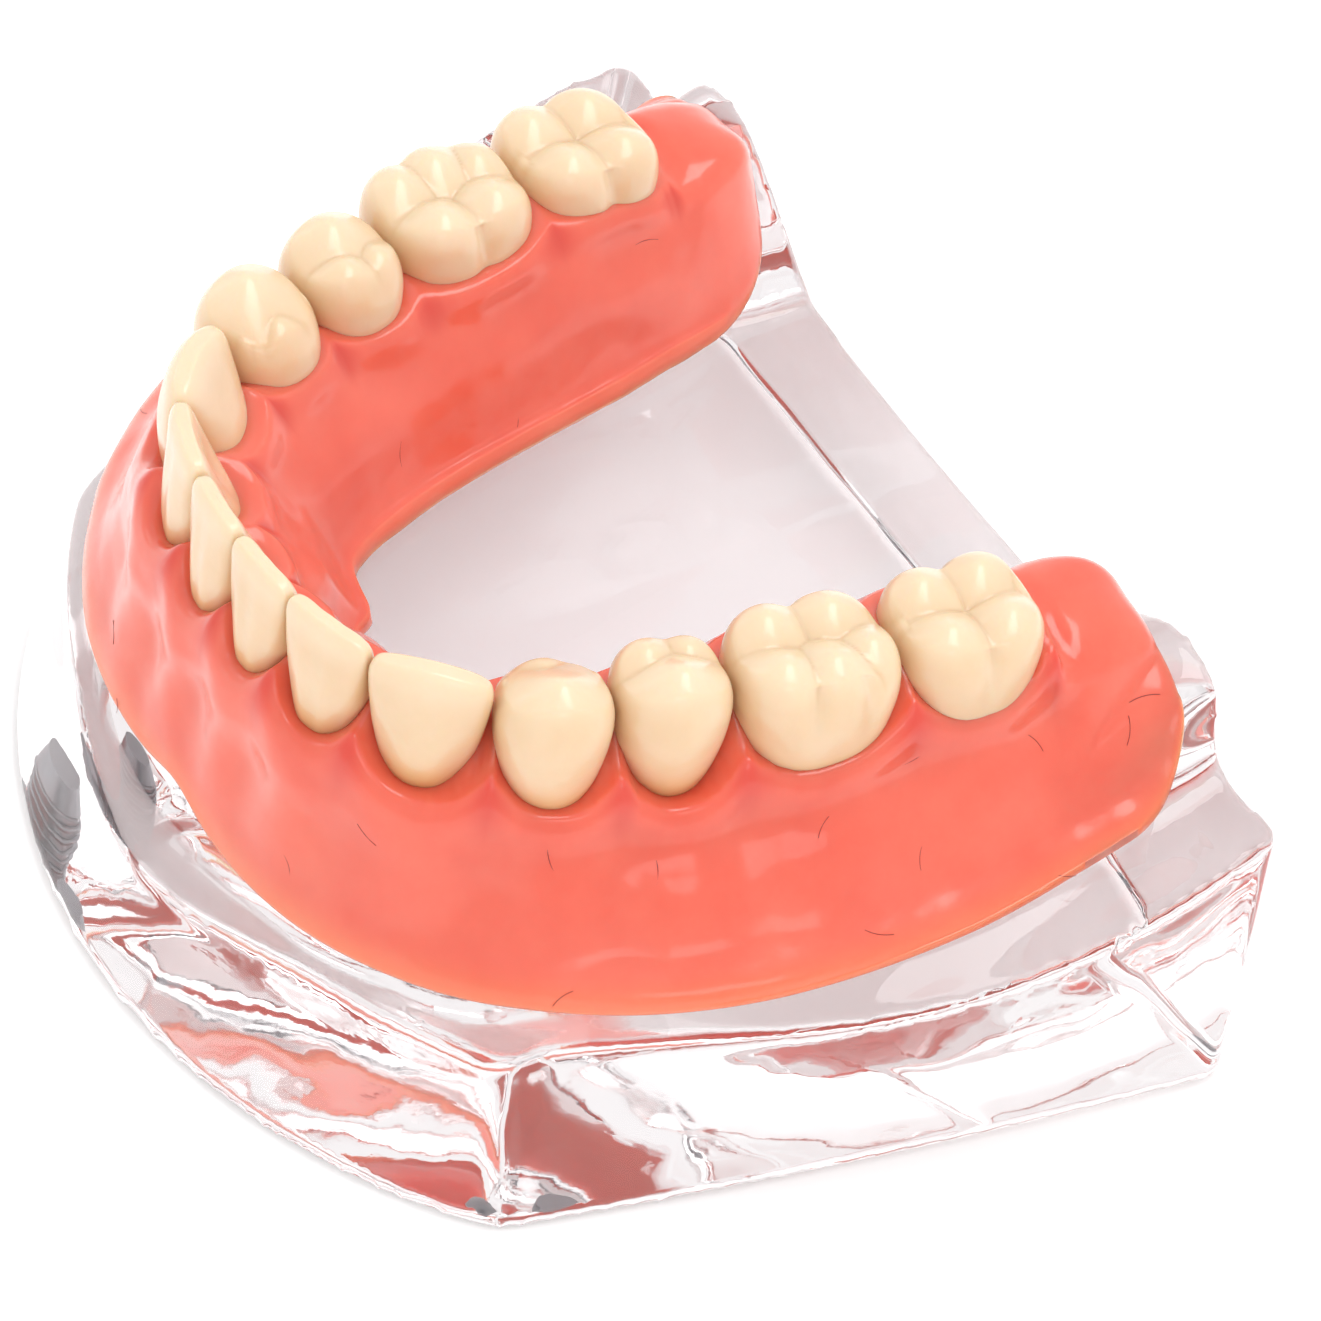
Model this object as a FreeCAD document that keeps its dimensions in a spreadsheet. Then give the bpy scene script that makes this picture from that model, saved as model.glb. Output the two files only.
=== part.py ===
"""Lower-jaw overdenture model: a clear jaw block with implants, and a lift-off denture.

Millimetres. +X is the patient's left, -Y the front (incisors), +Z up.
The origin is the centre of the foot, on the surface that the model stands on.
"""
import FreeCAD
import Part
import math
import os
import re
import Sketcher
from FreeCAD import Placement, Rotation, Vector

# ---------------------------------------------------------------- driving dimensions
DIMENSIONS = [
    # jaw block
    ("base_width", 76.4),
    ("base_depth", 58.3),
    ("front_radius", 41.0),
    ("canine_width", 57.6),
    ("corner_radius", 5.0),
    ("heel_radius", 1.5),
    ("blank_height", 32.0),
    ("front_draft", 8.0),
    ("canine_draft", 6.5),
    ("foot_bulge", 0.5),
    ("head_bulge", 7.0),
    # tongue floor
    ("floor_height", 18.9),
    ("floor_width", 29.0),
    ("floor_length", 44.0),
    ("floor_hollow", 150.0),
    # dental arch, measured at the contacts between the teeth
    ("arch_setback", 8.1),
    ("arch_side_margin", 16.1),
    ("arch_back_margin", 8.0),
    ("arch_flatness", 0.21),
    ("arch_power", 6.7),
    ("occlusal_height", 34.6),
    ("tooth_gap", 0.12),
    # ridge and denture
    ("ridge_height", 19.6),
    ("pad_height", 27.2),
    ("ridge_reach", 21.0),
    ("denture_gap", 0.35),
    ("flange_thickness", 1.1),
    ("denture_back_margin", 2.3),
    # implants and abutments
    ("implant_radius", 1.9),
    ("implant_length", 11.0),
    ("implant_tip_radius", 1.3),
    ("implant_tip_length", 2.0),
    ("implant_rise", 0.3),
    ("screw_radius", 1.0),
    ("screw_depth", 5.0),
    ("collar_radius", 1.7),
    ("collar_height", 0.7),
    ("neck_radius", 0.8),
    ("neck_height", 1.1),
    ("ball_radius", 1.15),
    # retention caps and their rings
    ("ball_clearance", 0.1),
    ("ring_section", 0.45),
    ("ring_squeeze", 0.02),
    ("ring_drop", 0.25),
    ("cap_wall", 0.5),
    ("cap_top", 0.5),
    ("cap_lip", 0.45),
    ("cap_headroom", 0.25),
    ("cap_cover", 0.3),
]

# Along-arch tables: (distance from the midline, value).
FAN_ANGLE = [(0, 0), (5.2, 13), (10.9, 28), (17.4, 51), (24.1, 67), (31, 76.5), (41.8, 83), (66, 86)]
CREST_SHIFT = [(0, -2.8), (14, -2.2), (27, -1.0), (44, 0.0), (52, 1.0), (59, 2.5), (66, 3.5)]
CREST_RISE = [(0, 0), (30, 0), (38, 0.09), (44, 0.21), (50, 0.43), (55, 0.70), (59, 0.92), (66, 1.0)]
BORDER_REACH = [
    (0, 3.3), (8, 4.4), (14, 5.9), (20, 8.6), (27, 11.2), (34, 12.4), (44, 12.2), (52, 11.0), (66, 9.0),
]
BORDER_HEIGHT = [
    (0, 13.3), (14, 14.0), (24, 15.1), (31, 15.9), (44, 17.4), (52, 18.7), (60, 20.8), (70, 24.0),
]
EDGE_REACH = [(0, 5.8), (8, 7.6), (14, 9.2), (20, 11.2), (27, 13.4), (34, 14.7), (44, 15.0), (66, 14.6)]
EDGE_HEIGHT = [(0, 9.0), (14, 10.2), (24, 12.0), (31, 13.2), (44, 16.0), (52, 18.2), (60, 20.8), (70, 24.0)]
LINGUAL_REACH = [(0, 11.0), (14, 10.6), (27, 9.8), (44, 9.2), (52, 8.6), (66, 10.5)]
BUCCAL_NECK = [(0, 0.9), (14, 2.0), (20, 2.8), (27, 3.3), (36, 4.2), (47, 4.0), (66, 3.4)]
LINGUAL_NECK = [(0, -5.0), (14, -5.4), (27, -5.0), (36, -5.4), (47, -5.0), (66, -4.4)]
NECK_RISE = [(0, 1.7), (30, 1.7), (47, 1.5), (53, 3.0), (58, 3.8), (66, 3.8)]

# how far the teeth and their necks are set out from the arch line
SET_OUT = [(0, 0.8), (8, 0.9), (14, 1.0), (24, 1.1), (47, 1.1), (52, 0.6), (58, 0.0)]

# tooth: (name, width along the arch, kind)
TEETH = [
    ("central_incisor", 5.3, "front"),
    ("lateral_incisor", 6.0, "front"),
    ("canine", 7.1, "front"),
    ("first_premolar", 6.9, "side"),
    ("second_premolar", 7.0, "side"),
    ("first_molar", 10.1, "molar"),
    ("second_molar", 9.5, "molar"),
]
# level above the seat (share of the crown), outward shift, width share, half depth
CROWN = {
    "front": [(0.0, -2.2, 0.55, 2.1), (0.3, -1.9, 0.74, 2.6), (0.65, -1.1, 0.94, 1.9),
              (0.9, -0.45, 0.98, 0.9), (0.99, -0.15, 0.93, 0.35)],
    "side": [(0.0, -0.8, 0.62, 2.5), (0.3, -0.9, 0.82, 3.6), (0.6, -0.9, 1.0, 3.9),
             (0.85, -0.6, 0.94, 3.1), (0.97, -0.4, 0.70, 1.9)],
    "molar": [(0.0, -0.6, 0.70, 3.4), (0.3, -0.7, 0.88, 4.5), (0.6, -0.7, 1.0, 4.9),
              (0.85, -0.5, 0.95, 4.2), (0.97, -0.4, 0.80, 3.2)],
}
TONGUE_TAPER = 0.13  # share of its width that a crown loses towards the tongue
IMPLANT_STATIONS = [("canine", 11.5), ("premolar", 24.5)]
SIDES = [("left", 1), ("right", -1)]

doc = FreeCAD.newDocument("overdenture_model")
sheet = doc.addObject("Spreadsheet::Sheet", "Sizes")
for row, (alias, value) in enumerate(DIMENSIONS, start=1):
    sheet.set("A%d" % row, alias)
    sheet.set("B%d" % row, str(value))
    sheet.setAlias("B%d" % row, alias)
doc.recompute()


def size(alias):
    """The value of a named cell of the sheet."""
    return float(sheet.get(alias))


# ---------------------------------------------------------------- the dental arch
def along(table, distance):
    """Smooth value of an along-arch table at a distance from the midline."""
    distance = abs(distance)
    last = len(table) - 1
    if distance >= table[last][0]:
        return float(table[last][1])
    low = max(i for i in range(last) if table[i][0] <= distance)

    def slope(i):
        a = table[max(i - 1, 0)]
        b = table[min(i + 1, last)]
        return 0.0 if i == 0 else (b[1] - a[1]) / (b[0] - a[0])

    (x0, y0), (x1, y1) = table[low], table[low + 1]
    span = x1 - x0
    t = (distance - x0) / span
    blend = (2 * t ** 3 - 3 * t ** 2 + 1) * y0 + (3 * t ** 2 - 2 * t ** 3) * y1
    return blend + (t ** 3 - 2 * t ** 2 + t) * span * slope(low) + (t ** 3 - t ** 2) * span * slope(low + 1)


def arch_y(x):
    """Height of the arch curve in plan, from the front of the arch backwards."""
    share = abs(x) / (size("base_width") / 2 - size("arch_side_margin"))
    length = size("base_depth") - size("arch_setback") - size("arch_back_margin")
    flat = size("arch_flatness")
    bend = flat * share ** 2 + (1 - flat) * share ** size("arch_power")
    return size("arch_setback") - size("base_depth") / 2 + length * bend


ARCH_STEP = 0.02
ARCH_END = 75.0
ARCH_POINTS = [(0.0, 0.0, arch_y(0.0))]
while ARCH_POINTS[-1][0] < ARCH_END:
    travelled, last_x, last_y = ARCH_POINTS[-1]
    next_x = last_x + ARCH_STEP
    next_y = arch_y(next_x)
    ARCH_POINTS.append((travelled + math.hypot(ARCH_STEP, next_y - last_y), next_x, next_y))


def arch_point(station):
    """Plan point (x, y) of the arch at a signed distance from the midline, +X left."""
    distance = abs(station)
    low = 0
    high = len(ARCH_POINTS) - 1
    while high - low > 1:
        middle = (low + high) // 2
        if ARCH_POINTS[middle][0] <= distance:
            low = middle
        else:
            high = middle
    d0, x0, y0 = ARCH_POINTS[low]
    d1, x1, y1 = ARCH_POINTS[high]
    t = (distance - d0) / (d1 - d0)
    return math.copysign(x0 + (x1 - x0) * t, station), y0 + (y1 - y0) * t


def station_at(y):
    """Distance from the midline at which the arch reaches a place from front to back."""
    return min(point[0] for point in ARCH_POINTS if point[2] >= y)


def outward(station):
    """Fanned outward direction of the ridge and denture sections, in plan."""
    angle = math.radians(along(FAN_ANGLE, station))
    return Vector(math.copysign(math.sin(angle), station), -math.cos(angle), 0)


def arch_normal(station):
    """True outward normal of the arch curve, in plan, for setting the teeth."""
    x0, y0 = arch_point(station - 0.05)
    x1, y1 = arch_point(station + 0.05)
    return Vector(y1 - y0, x0 - x1, 0).normalize()


def place(station, reach, height):
    """The 3-D point at a station, a reach outwards from the arch, and a height."""
    x, y = arch_point(station)
    return Vector(x, y, 0) + outward(station) * reach + Vector(0, 0, height)


# ---------------------------------------------------------------- small helpers
def feature(label, shape):
    """A document object with a computed shape."""
    item = doc.addObject("Part::Feature", label)
    item.Label = label
    item.Shape = shape
    return item


def bind(item, prop, expression):
    """Tie a property to the sheet."""
    item.setExpression(prop, expression)


def cell(expression):
    """Turn plain aliases in an expression into references to the sheet."""
    names = {alias for alias, _value in DIMENSIONS}
    return re.sub("[a-z_]+", lambda word: "Sizes." + word[0] if word[0] in names else word[0], expression)


def worth(expression):
    """The number that an expression over the sheet stands for now."""
    if expression is None:
        return 0.0
    sheet.set("D1", "=" + expression)
    sheet.recompute()
    return float(sheet.get("D1"))


def plane_of(body, role):
    """One of a body's own origin planes."""
    return [p for p in body.Origin.OriginFeatures if p.Role == role][0]


def sketch_on(body, name, role):
    """A sketch on one of a body's origin planes."""
    sketch = body.newObject("Sketcher::SketchObject", name)
    sketch.AttachmentSupport = (plane_of(body, role), [""])
    sketch.MapMode = "FlatFace"
    return sketch


def hold_point(sketch, edge, vertex, name, across, above):
    """Tie a sketch vertex to two expressions; None keeps it on that axis."""
    for kind, expression in (("X", across), ("Y", above)):
        if expression is None:
            axis = -2 if kind == "X" else -1
            sketch.addConstraint(Sketcher.Constraint("PointOnObject", edge, vertex, axis))
            continue
        at = sketch.getPoint(edge, vertex)
        value = at.x if kind == "X" else at.y
        index = sketch.addConstraint(Sketcher.Constraint("Distance" + kind, -1, 1, edge, vertex, value))
        label = name + kind.lower()
        sketch.renameConstraint(index, label)
        bind(sketch, ".Constraints." + label, cell(expression))


def turned_body(label, profile):
    """A body turned about its own Z axis from (radius, height) expressions."""
    body = doc.addObject("PartDesign::Body", label)
    body.Label = label
    sketch = sketch_on(body, label + "_profile", "XZ_Plane")
    corners = []
    for radius, height in profile:
        corners.append(Vector(worth(radius), worth(height), 0))
    for i, corner in enumerate(corners):
        sketch.addGeometry(Part.LineSegment(corner, corners[(i + 1) % len(corners)]), False)
    for i in range(len(corners)):
        sketch.addConstraint(Sketcher.Constraint("Coincident", i, 2, (i + 1) % len(corners), 1))
    for i, (radius, height) in enumerate(profile):
        hold_point(sketch, i, 1, "corner%d" % i, radius, height)
    turn = body.newObject("PartDesign::Revolution", label + "_turn")
    turn.Profile = sketch
    turn.ReferenceAxis = (sketch, ["V_Axis"])
    turn.Angle = 360
    return body


# ---------------------------------------------------------------- jaw block
def meeting(centre, reach, start, direction):
    """Where a line from start along direction leaves a circle, in plan."""
    offset = start - centre
    along_line = offset.dot(direction)
    root = math.sqrt(along_line ** 2 - offset.dot(offset) + reach ** 2)
    near = start + direction * (-along_line - root)
    far = start + direction * (-along_line + root)
    return near if near.y < far.y else far


def arc_edge(centre, radius, start, end):
    """A short arc about a centre from one point to another."""
    middle = ((start + end) * 0.5 - centre).normalize() * radius + centre
    return Part.Arc(start, middle, end).toShape()


def outline_wire(level, draft, shrink, bulge):
    """Plan outline of the jaw block: a front arc, two bowed sides, a straight back, round corners."""
    radius = size("front_radius")
    round_off = size("corner_radius")
    back = size("base_depth") / 2
    half_back = size("base_width") / 2
    centre = Vector(0, radius - back + draft, 0)
    half_canine = size("canine_width") / 2 - shrink
    canine = Vector(half_canine, centre.y - math.sqrt(radius ** 2 - half_canine ** 2), 0)
    heel = Vector(half_back, back, 0)
    side = (heel - canine).normalize()
    inward = Vector(-side.y, side.x, 0)
    front_hub = meeting(centre, radius - round_off, canine + inward * round_off, side)
    front_end = centre + (front_hub - centre).normalize() * radius
    side_start = front_hub - inward * round_off
    swell = (side_start + heel) * 0.5 - inward * bulge
    heel_round = size("heel_radius")
    heel_line = heel + inward * heel_round
    back_hub = heel_line - side * ((heel_line.y - back + heel_round) / side.y)
    side_end = back_hub - inward * heel_round
    back_start = Vector(back_hub.x, back, 0)

    def other(point):
        return Vector(-point.x, point.y, 0)

    edges = [
        arc_edge(centre, radius, other(front_end), front_end),
        arc_edge(front_hub, round_off, front_end, side_start),
        Part.Arc(side_start, swell, side_end).toShape(),
        arc_edge(back_hub, heel_round, side_end, back_start),
        Part.LineSegment(back_start, other(back_start)).toShape(),
        arc_edge(other(back_hub), heel_round, other(back_start), other(side_end)),
        Part.Arc(other(side_end), other(swell), other(side_start)).toShape(),
        arc_edge(other(front_hub), round_off, other(side_start), other(front_end)),
    ]
    wire = Part.Wire(edges)
    wire.translate(Vector(0, 0, level))
    return wire


def jaw_blank():
    """The block before its top is shaped: drafted at the front, upright at the back."""
    foot = outline_wire(0.0, 0.0, 0.0, size("foot_bulge"))
    head = outline_wire(size("blank_height"), size("front_draft"), size("canine_draft"), size("head_bulge"))
    return feature("jaw_blank", Part.makeLoft([foot, head], True, True))


def ridge_profile(station, growth):
    """Top line of the jaw across the ridge, from the tongue side to the cheek side."""
    shift = along(CREST_SHIFT, station)
    ridge = size("ridge_height")
    crest = ridge + (size("pad_height") - ridge) * along(CREST_RISE, station)
    tongue = -along(LINGUAL_REACH, station) - 1.0
    floor = size("floor_height") - 0.5
    border = along(BORDER_REACH, station)
    border_z = along(BORDER_HEIGHT, station)
    edge = along(EDGE_REACH, station)
    edge_z = along(EDGE_HEIGHT, station)
    shoulder = border - size("flange_thickness")
    inner = [
        (tongue - 1.5, floor - 0.3),
        (tongue, floor),
        (0.5 * (tongue + shift - 2.5), floor + 0.45 * (crest - floor)),
        (shift - 2.4, crest - 0.35 - 0.04 * (crest - ridge)),
        (shift, crest),
    ]
    run = shoulder - (shift + 2.0)
    outer = [
        (shift + 2.0, crest - 0.45),
        (shift + 2.0 + 0.55 * run, border_z + 0.62 * (crest - border_z)),
        (shoulder, border_z - 0.1),
        (edge, edge_z),
        (max(edge + 2.0, size("ridge_reach")), edge_z - 1.5),
    ]
    return offset_line(inner + outer, growth)


def offset_line(points, growth):
    """A line of (reach, height) points moved outwards along its own normals."""
    moved = []
    last = len(points) - 1
    for i, (u, z) in enumerate(points):
        u0, z0 = points[max(i - 1, 0)]
        u1, z1 = points[min(i + 1, last)]
        length = math.hypot(u1 - u0, z1 - z0)
        moved.append((u - growth * (z1 - z0) / length, z + growth * (u1 - u0) / length))
    return moved


def mean_knots(lines):
    """Knots from the mean spacing of the matching points of several lines."""
    knots = [0.0]
    for i in range(1, len(lines[0])):
        steps = [line[i].distanceToPoint(line[i - 1]) for line in lines]
        knots.append(knots[-1] + sum(steps) / len(steps))
    return knots


def lofted(sections):
    """A solid through sections; each is a list of lines of points that meet end to end to close."""
    knots = []
    for k in range(len(sections[0])):
        knots.append(mean_knots([section[k] for section in sections]))
    wires = []
    for section in sections:
        edges = []
        for line, steps in zip(section, knots):
            if len(line) == 2:
                edges.append(Part.LineSegment(line[0], line[1]).toShape())
                continue
            curve = Part.BSplineCurve()
            curve.interpolate(Points=line, Parameters=steps)
            edges.append(curve.toShape())
        wires.append(Part.Wire(edges))
    return Part.makeLoft(wires, True, False)


FRONT_STATIONS = [0, 5, 10, 14, 18, 22, 27, 33, 39, 45]


def evenly(first, last, count):
    """Numbers from just after the first to the last, evenly spaced."""
    return [first + (last - first) * (i + 1) / count for i in range(count)]


def mirrored(stations):
    """Stations on both sides of the midline, from the right end to the left end."""
    return [-s for s in reversed(stations) if s > 0] + list(stations)


def ridge_solid(growth):
    """The ridge with its flanks, from the foot up, wider than the block's walls."""
    sections = []
    end = station_at(size("base_depth") / 2 + 2.0)
    for station in mirrored(FRONT_STATIONS + evenly(FRONT_STATIONS[-1], end, 4)):
        line = ridge_profile(station, growth)
        top = [place(station, u, z) for u, z in line]
        low_in = place(station, line[0][0], -1.0)
        low_out = place(station, line[-1][0], -1.0)
        sections.append([top, [top[-1], low_out], [low_out, low_in], [low_in, top[0]]])
    return lofted(sections)


def tongue_floor(label, growth):
    """A slab between the arms of the ridge with a shallow trough along its top."""
    slab = doc.addObject("Part::Box", label + "_slab")
    bind(slab, "Length", cell("floor_width"))
    bind(slab, "Width", cell("floor_length"))
    bind(slab, "Height", cell("floor_height + 1 + %g" % growth))
    bind(slab, "Placement.Base.x", cell("-floor_width / 2"))
    bind(slab, "Placement.Base.y", cell("base_depth / 2 - floor_length + 0.5"))
    trough = doc.addObject("Part::Cylinder", label + "_trough")
    bind(trough, "Radius", cell("floor_hollow"))
    bind(trough, "Height", cell("floor_length * 2"))
    trough.Placement.Rotation = Rotation(Vector(1, 0, 0), 90)
    bind(trough, "Placement.Base.y", cell("base_depth"))
    bind(trough, "Placement.Base.z", cell("floor_height + floor_hollow + %g" % growth))
    cut = doc.addObject("Part::Cut", label)
    cut.Base = slab
    cut.Tool = trough
    return cut


# ---------------------------------------------------------------- implants and abutments
def implant_rim(station):
    """Centre of an implant's rim, a little above the crest of the ridge."""
    return place(station, along(CREST_SHIFT, station), size("ridge_height") + size("implant_rise"))


def implant(label, rim):
    """A tapered screw body with a blind bore for the abutment's screw."""
    body = turned_body(label, [
        (None, None),
        ("implant_tip_radius", None),
        ("implant_radius", "implant_tip_length"),
        ("implant_radius", "implant_length"),
        ("screw_radius", "implant_length"),
        ("screw_radius", "implant_length - screw_depth"),
        (None, "implant_length - screw_depth"),
    ])
    body.Placement = Placement(rim - Vector(0, 0, size("implant_length")), Rotation())
    return body


def implant_socket(rim):
    """The space that an implant fills in the jaw block."""
    tip = doc.addObject("Part::Cone", "socket_tip")
    bind(tip, "Radius1", cell("implant_tip_radius"))
    bind(tip, "Radius2", cell("implant_radius"))
    bind(tip, "Height", cell("implant_tip_length"))
    tip.Placement.Base = rim - Vector(0, 0, size("implant_length"))
    shank = doc.addObject("Part::Cylinder", "socket_shank")
    bind(shank, "Radius", cell("implant_radius"))
    bind(shank, "Height", cell("implant_length"))
    shank.Placement.Base = rim - Vector(0, 0, size("implant_length") - size("implant_tip_length"))
    return [tip, shank]


def abutment(label, rim):
    """A screw stem, a collar on the implant's rim, a waisted neck and a ball."""
    body = turned_body(label, [
        (None, None),
        ("screw_radius", None),
        ("screw_radius", "screw_depth"),
        ("collar_radius", "screw_depth"),
        ("collar_radius", "screw_depth + collar_height"),
        ("neck_radius", "screw_depth + collar_height + 0.3"),
        ("neck_radius", "screw_depth + collar_height + neck_height"),
        (None, "screw_depth + collar_height + neck_height"),
    ])
    ball = body.newObject("PartDesign::AdditiveSphere", label + "_ball")
    bind(ball, "Radius", cell("ball_radius"))
    ball.AttachmentSupport = (plane_of(body, "XY_Plane"), [""])
    ball.MapMode = "FlatFace"
    ball_level = "screw_depth + collar_height + neck_height + ball_radius / 2"
    bind(ball, ".AttachmentOffset.Base.z", cell(ball_level))
    body.Placement = Placement(rim - Vector(0, 0, size("screw_depth")), Rotation())
    return body


def ball_centre(rim):
    """Centre of an abutment's ball."""
    return rim + Vector(0, 0, size("collar_height") + size("neck_height") + size("ball_radius") / 2)


# ---------------------------------------------------------------- retention caps and rings
RING_INNER = "(ball_radius + ball_clearance)"
GROOVE = "(" + RING_INNER + " + 2 * ring_section - ring_squeeze)"
CAP_RADIUS = "(" + GROOVE + " + cap_wall)"
GROOVE_TOP = "(cap_lip + 2 * ring_section)"
RING_TO_TOP = "(ring_drop + ball_radius + cap_headroom)"
CAP_HEIGHT = "(cap_lip + ring_section + " + RING_TO_TOP + " + cap_top)"


def cap_foot(rim):
    """Centre of a cap's mouth: its ring lies a little below the ball's centre."""
    return ball_centre(rim) - Vector(0, 0, worth("ring_drop + ring_section + cap_lip"))


def cap(label, rim):
    """A cup over the ball, with a groove for the ring and a lip under it."""
    body = turned_body(label, [
        (RING_INNER + " + ball_clearance", None),
        (CAP_RADIUS, None),
        (CAP_RADIUS, CAP_HEIGHT + " - cap_top"),
        (CAP_RADIUS + " - cap_top", CAP_HEIGHT),
        (None, CAP_HEIGHT),
        (None, CAP_HEIGHT + " - cap_top"),
        (RING_INNER, CAP_HEIGHT + " - cap_top"),
        (RING_INNER, GROOVE_TOP),
        (GROOVE, GROOVE_TOP),
        (GROOVE, "cap_lip"),
        (RING_INNER + " + ball_clearance", "cap_lip"),
    ])
    body.Placement = Placement(cap_foot(rim), Rotation())
    return body


def ring(label, rim):
    """A rubber ring that fills the cap's groove and clears the ball."""
    torus = doc.addObject("Part::Torus", label)
    torus.Label = label
    bind(torus, "Radius1", cell(RING_INNER + " + ring_section"))
    bind(torus, "Radius2", cell("ring_section"))
    torus.Placement.Base = ball_centre(rim) - Vector(0, 0, size("ring_drop"))
    return torus


RECESS_SKIRT = 3.0  # how far a recess runs on below its cap, to open into the hollow


def cap_recess(rim):
    """The room for a cap in the denture, open downwards."""
    depth = worth("ring_drop + ring_section + cap_lip") + RECESS_SKIRT
    foot = ball_centre(rim) - Vector(0, 0, depth)
    pocket = Part.makeCylinder(worth(CAP_RADIUS), depth - (ball_centre(rim).z - cap_foot(rim).z), foot)
    bevel = worth("cap_top")
    straight = worth(CAP_HEIGHT) - bevel
    pocket = pocket.fuse(Part.makeCylinder(worth(CAP_RADIUS), straight, cap_foot(rim)))
    roof = cap_foot(rim) + Vector(0, 0, straight)
    return pocket.fuse(Part.makeCone(worth(CAP_RADIUS), worth(CAP_RADIUS) - bevel, bevel, roof))


# ---------------------------------------------------------------- teeth
CROWN_POINTS = 16  # points round one section of a crown
CROWN_SQUARENESS = 3  # 2 is an ellipse, more is squarer


def tooth_stations():
    """(name, kind, width, middle station) from the midline outwards."""
    start = 0.0
    found = []
    for name, width, kind in TEETH:
        found.append((name, kind, width, start + width / 2))
        start += width
    return found


def tooth_seat():
    """Height of the teeth's undersides, just over the retention caps."""
    return cap_foot(implant_rim(0.0)).z + worth(CAP_HEIGHT) + size("cap_cover")


def tooth_solid(station, kind, width):
    """A crown lofted through rounded sections, from its seat to its biting edge."""
    x, y = arch_point(station)
    out = arch_normal(station)
    lengthways = Vector(-out.y, out.x, 0)
    set_out = along(SET_OUT, station)
    turned = arch_normal(station - width / 2).getAngle(arch_normal(station + width / 2))
    half_width = (width + set_out * turned) / 2 - size("tooth_gap")
    seat = tooth_seat()
    crown = size("occlusal_height") - seat
    sections = []
    for level, shift, share, half_depth in CROWN[kind]:
        centre = Vector(x, y, seat + level * crown) + out * (shift + set_out)
        points = []
        for i in range(CROWN_POINTS):
            turn = 2 * math.pi * i / CROWN_POINTS
            power = CROWN_SQUARENESS
            squarish = (abs(math.cos(turn)) ** power + abs(math.sin(turn)) ** power) ** (-1 / power)
            taper = 1 - TONGUE_TAPER * max(0.0, -squarish * math.sin(turn))
            a = half_width * share * squarish * math.cos(turn) * taper
            b = half_depth * squarish * math.sin(turn)
            points.append(centre + lengthways * a + out * b)
        half = CROWN_POINTS // 2
        sections.append([points[:half + 1], points[half:] + points[:1]])
    return lofted(sections)


# ---------------------------------------------------------------- denture base
def denture_profile(station):
    """Closed section of the denture, tongue side first, before it is hollowed."""
    shift = along(CREST_SHIFT, station)
    ridge = size("ridge_height")
    crest = ridge + (size("pad_height") - ridge) * along(CREST_RISE, station)
    tongue = -along(LINGUAL_REACH, station)
    tongue_z = size("floor_height") + 1.3
    border = along(BORDER_REACH, station)
    border_z = along(BORDER_HEIGHT, station)
    cheek_neck = along(BUCCAL_NECK, station) + along(SET_OUT, station)
    tongue_neck = along(LINGUAL_NECK, station) + along(SET_OUT, station)
    neck_z = max(tooth_seat() + along(NECK_RISE, station), crest + 1.8)
    return [
        (tongue, tongue_z),
        (0.62 * tongue + 0.38 * tongue_neck, tongue_z + 0.42 * (neck_z + 1.5 - tongue_z)),
        (tongue_neck - 0.5, neck_z - 0.2),
        (tongue_neck + 1.2, neck_z + 1.9),
        (cheek_neck - 1.4, neck_z + 1.5),
        (cheek_neck + 0.6, neck_z - 0.8),
        (cheek_neck + 0.48 * (border - cheek_neck), border_z + 0.55 * (neck_z - border_z)),
        (border, border_z + 0.8),
        (border - 0.9, border_z - 0.5),
        (shift + 1.0, crest - 3.2),
        (shift - 3.0, crest - 3.2),
        (tongue + 1.2, tongue_z - 1.3),
    ]


DENTURE_CAP = [(4.2, 1.0), (2.6, 0.93), (1.2, 0.75), (0.35, 0.45), (0.0, 0.2)]
OUTSIDE_POINTS = 8  # points of a section before the one where its fitting side starts


def denture_blank():
    """The horseshoe of acrylic with closed, rounded ends, before it is hollowed."""
    end = station_at(size("base_depth") / 2 - size("denture_back_margin"))
    tail = [(end - back, share) for back, share in DENTURE_CAP]
    body = FRONT_STATIONS + evenly(FRONT_STATIONS[-1], tail[0][0], 3)[:-1]
    stations = [(s, 1.0) for s in mirrored(body)]
    stations = [(-s, share) for s, share in reversed(tail)] + stations + tail
    sections = []
    for station, share in stations:
        line = denture_profile(station)
        middle_u = sum(p[0] for p in line) / len(line)
        middle_z = sum(p[1] for p in line) / len(line)
        points = []
        for u, z in line:
            reach = middle_u + share * (u - middle_u)
            points.append(place(station, reach, middle_z + share * (z - middle_z)))
        sections.append([points[:OUTSIDE_POINTS + 1], points[OUTSIDE_POINTS:] + points[:1]])
    return lofted(sections)


def union(shapes):
    """All the shapes joined."""
    return shapes[0].multiFuse(shapes[1:])


# ---------------------------------------------------------------- the model
sub_parts = []
rims = []
for place_name, station in IMPLANT_STATIONS:
    for side_name, sign in SIDES:
        name = "%s_%s" % (side_name, place_name)
        rim = implant_rim(sign * station)
        rims.append(rim)
        sub_parts.append(implant("implant_" + name, rim))
        sub_parts.append(abutment("abutment_" + name, rim))
        sub_parts.append(cap("cap_" + name, rim))
        sub_parts.append(ring("ring_" + name, rim))

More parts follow.
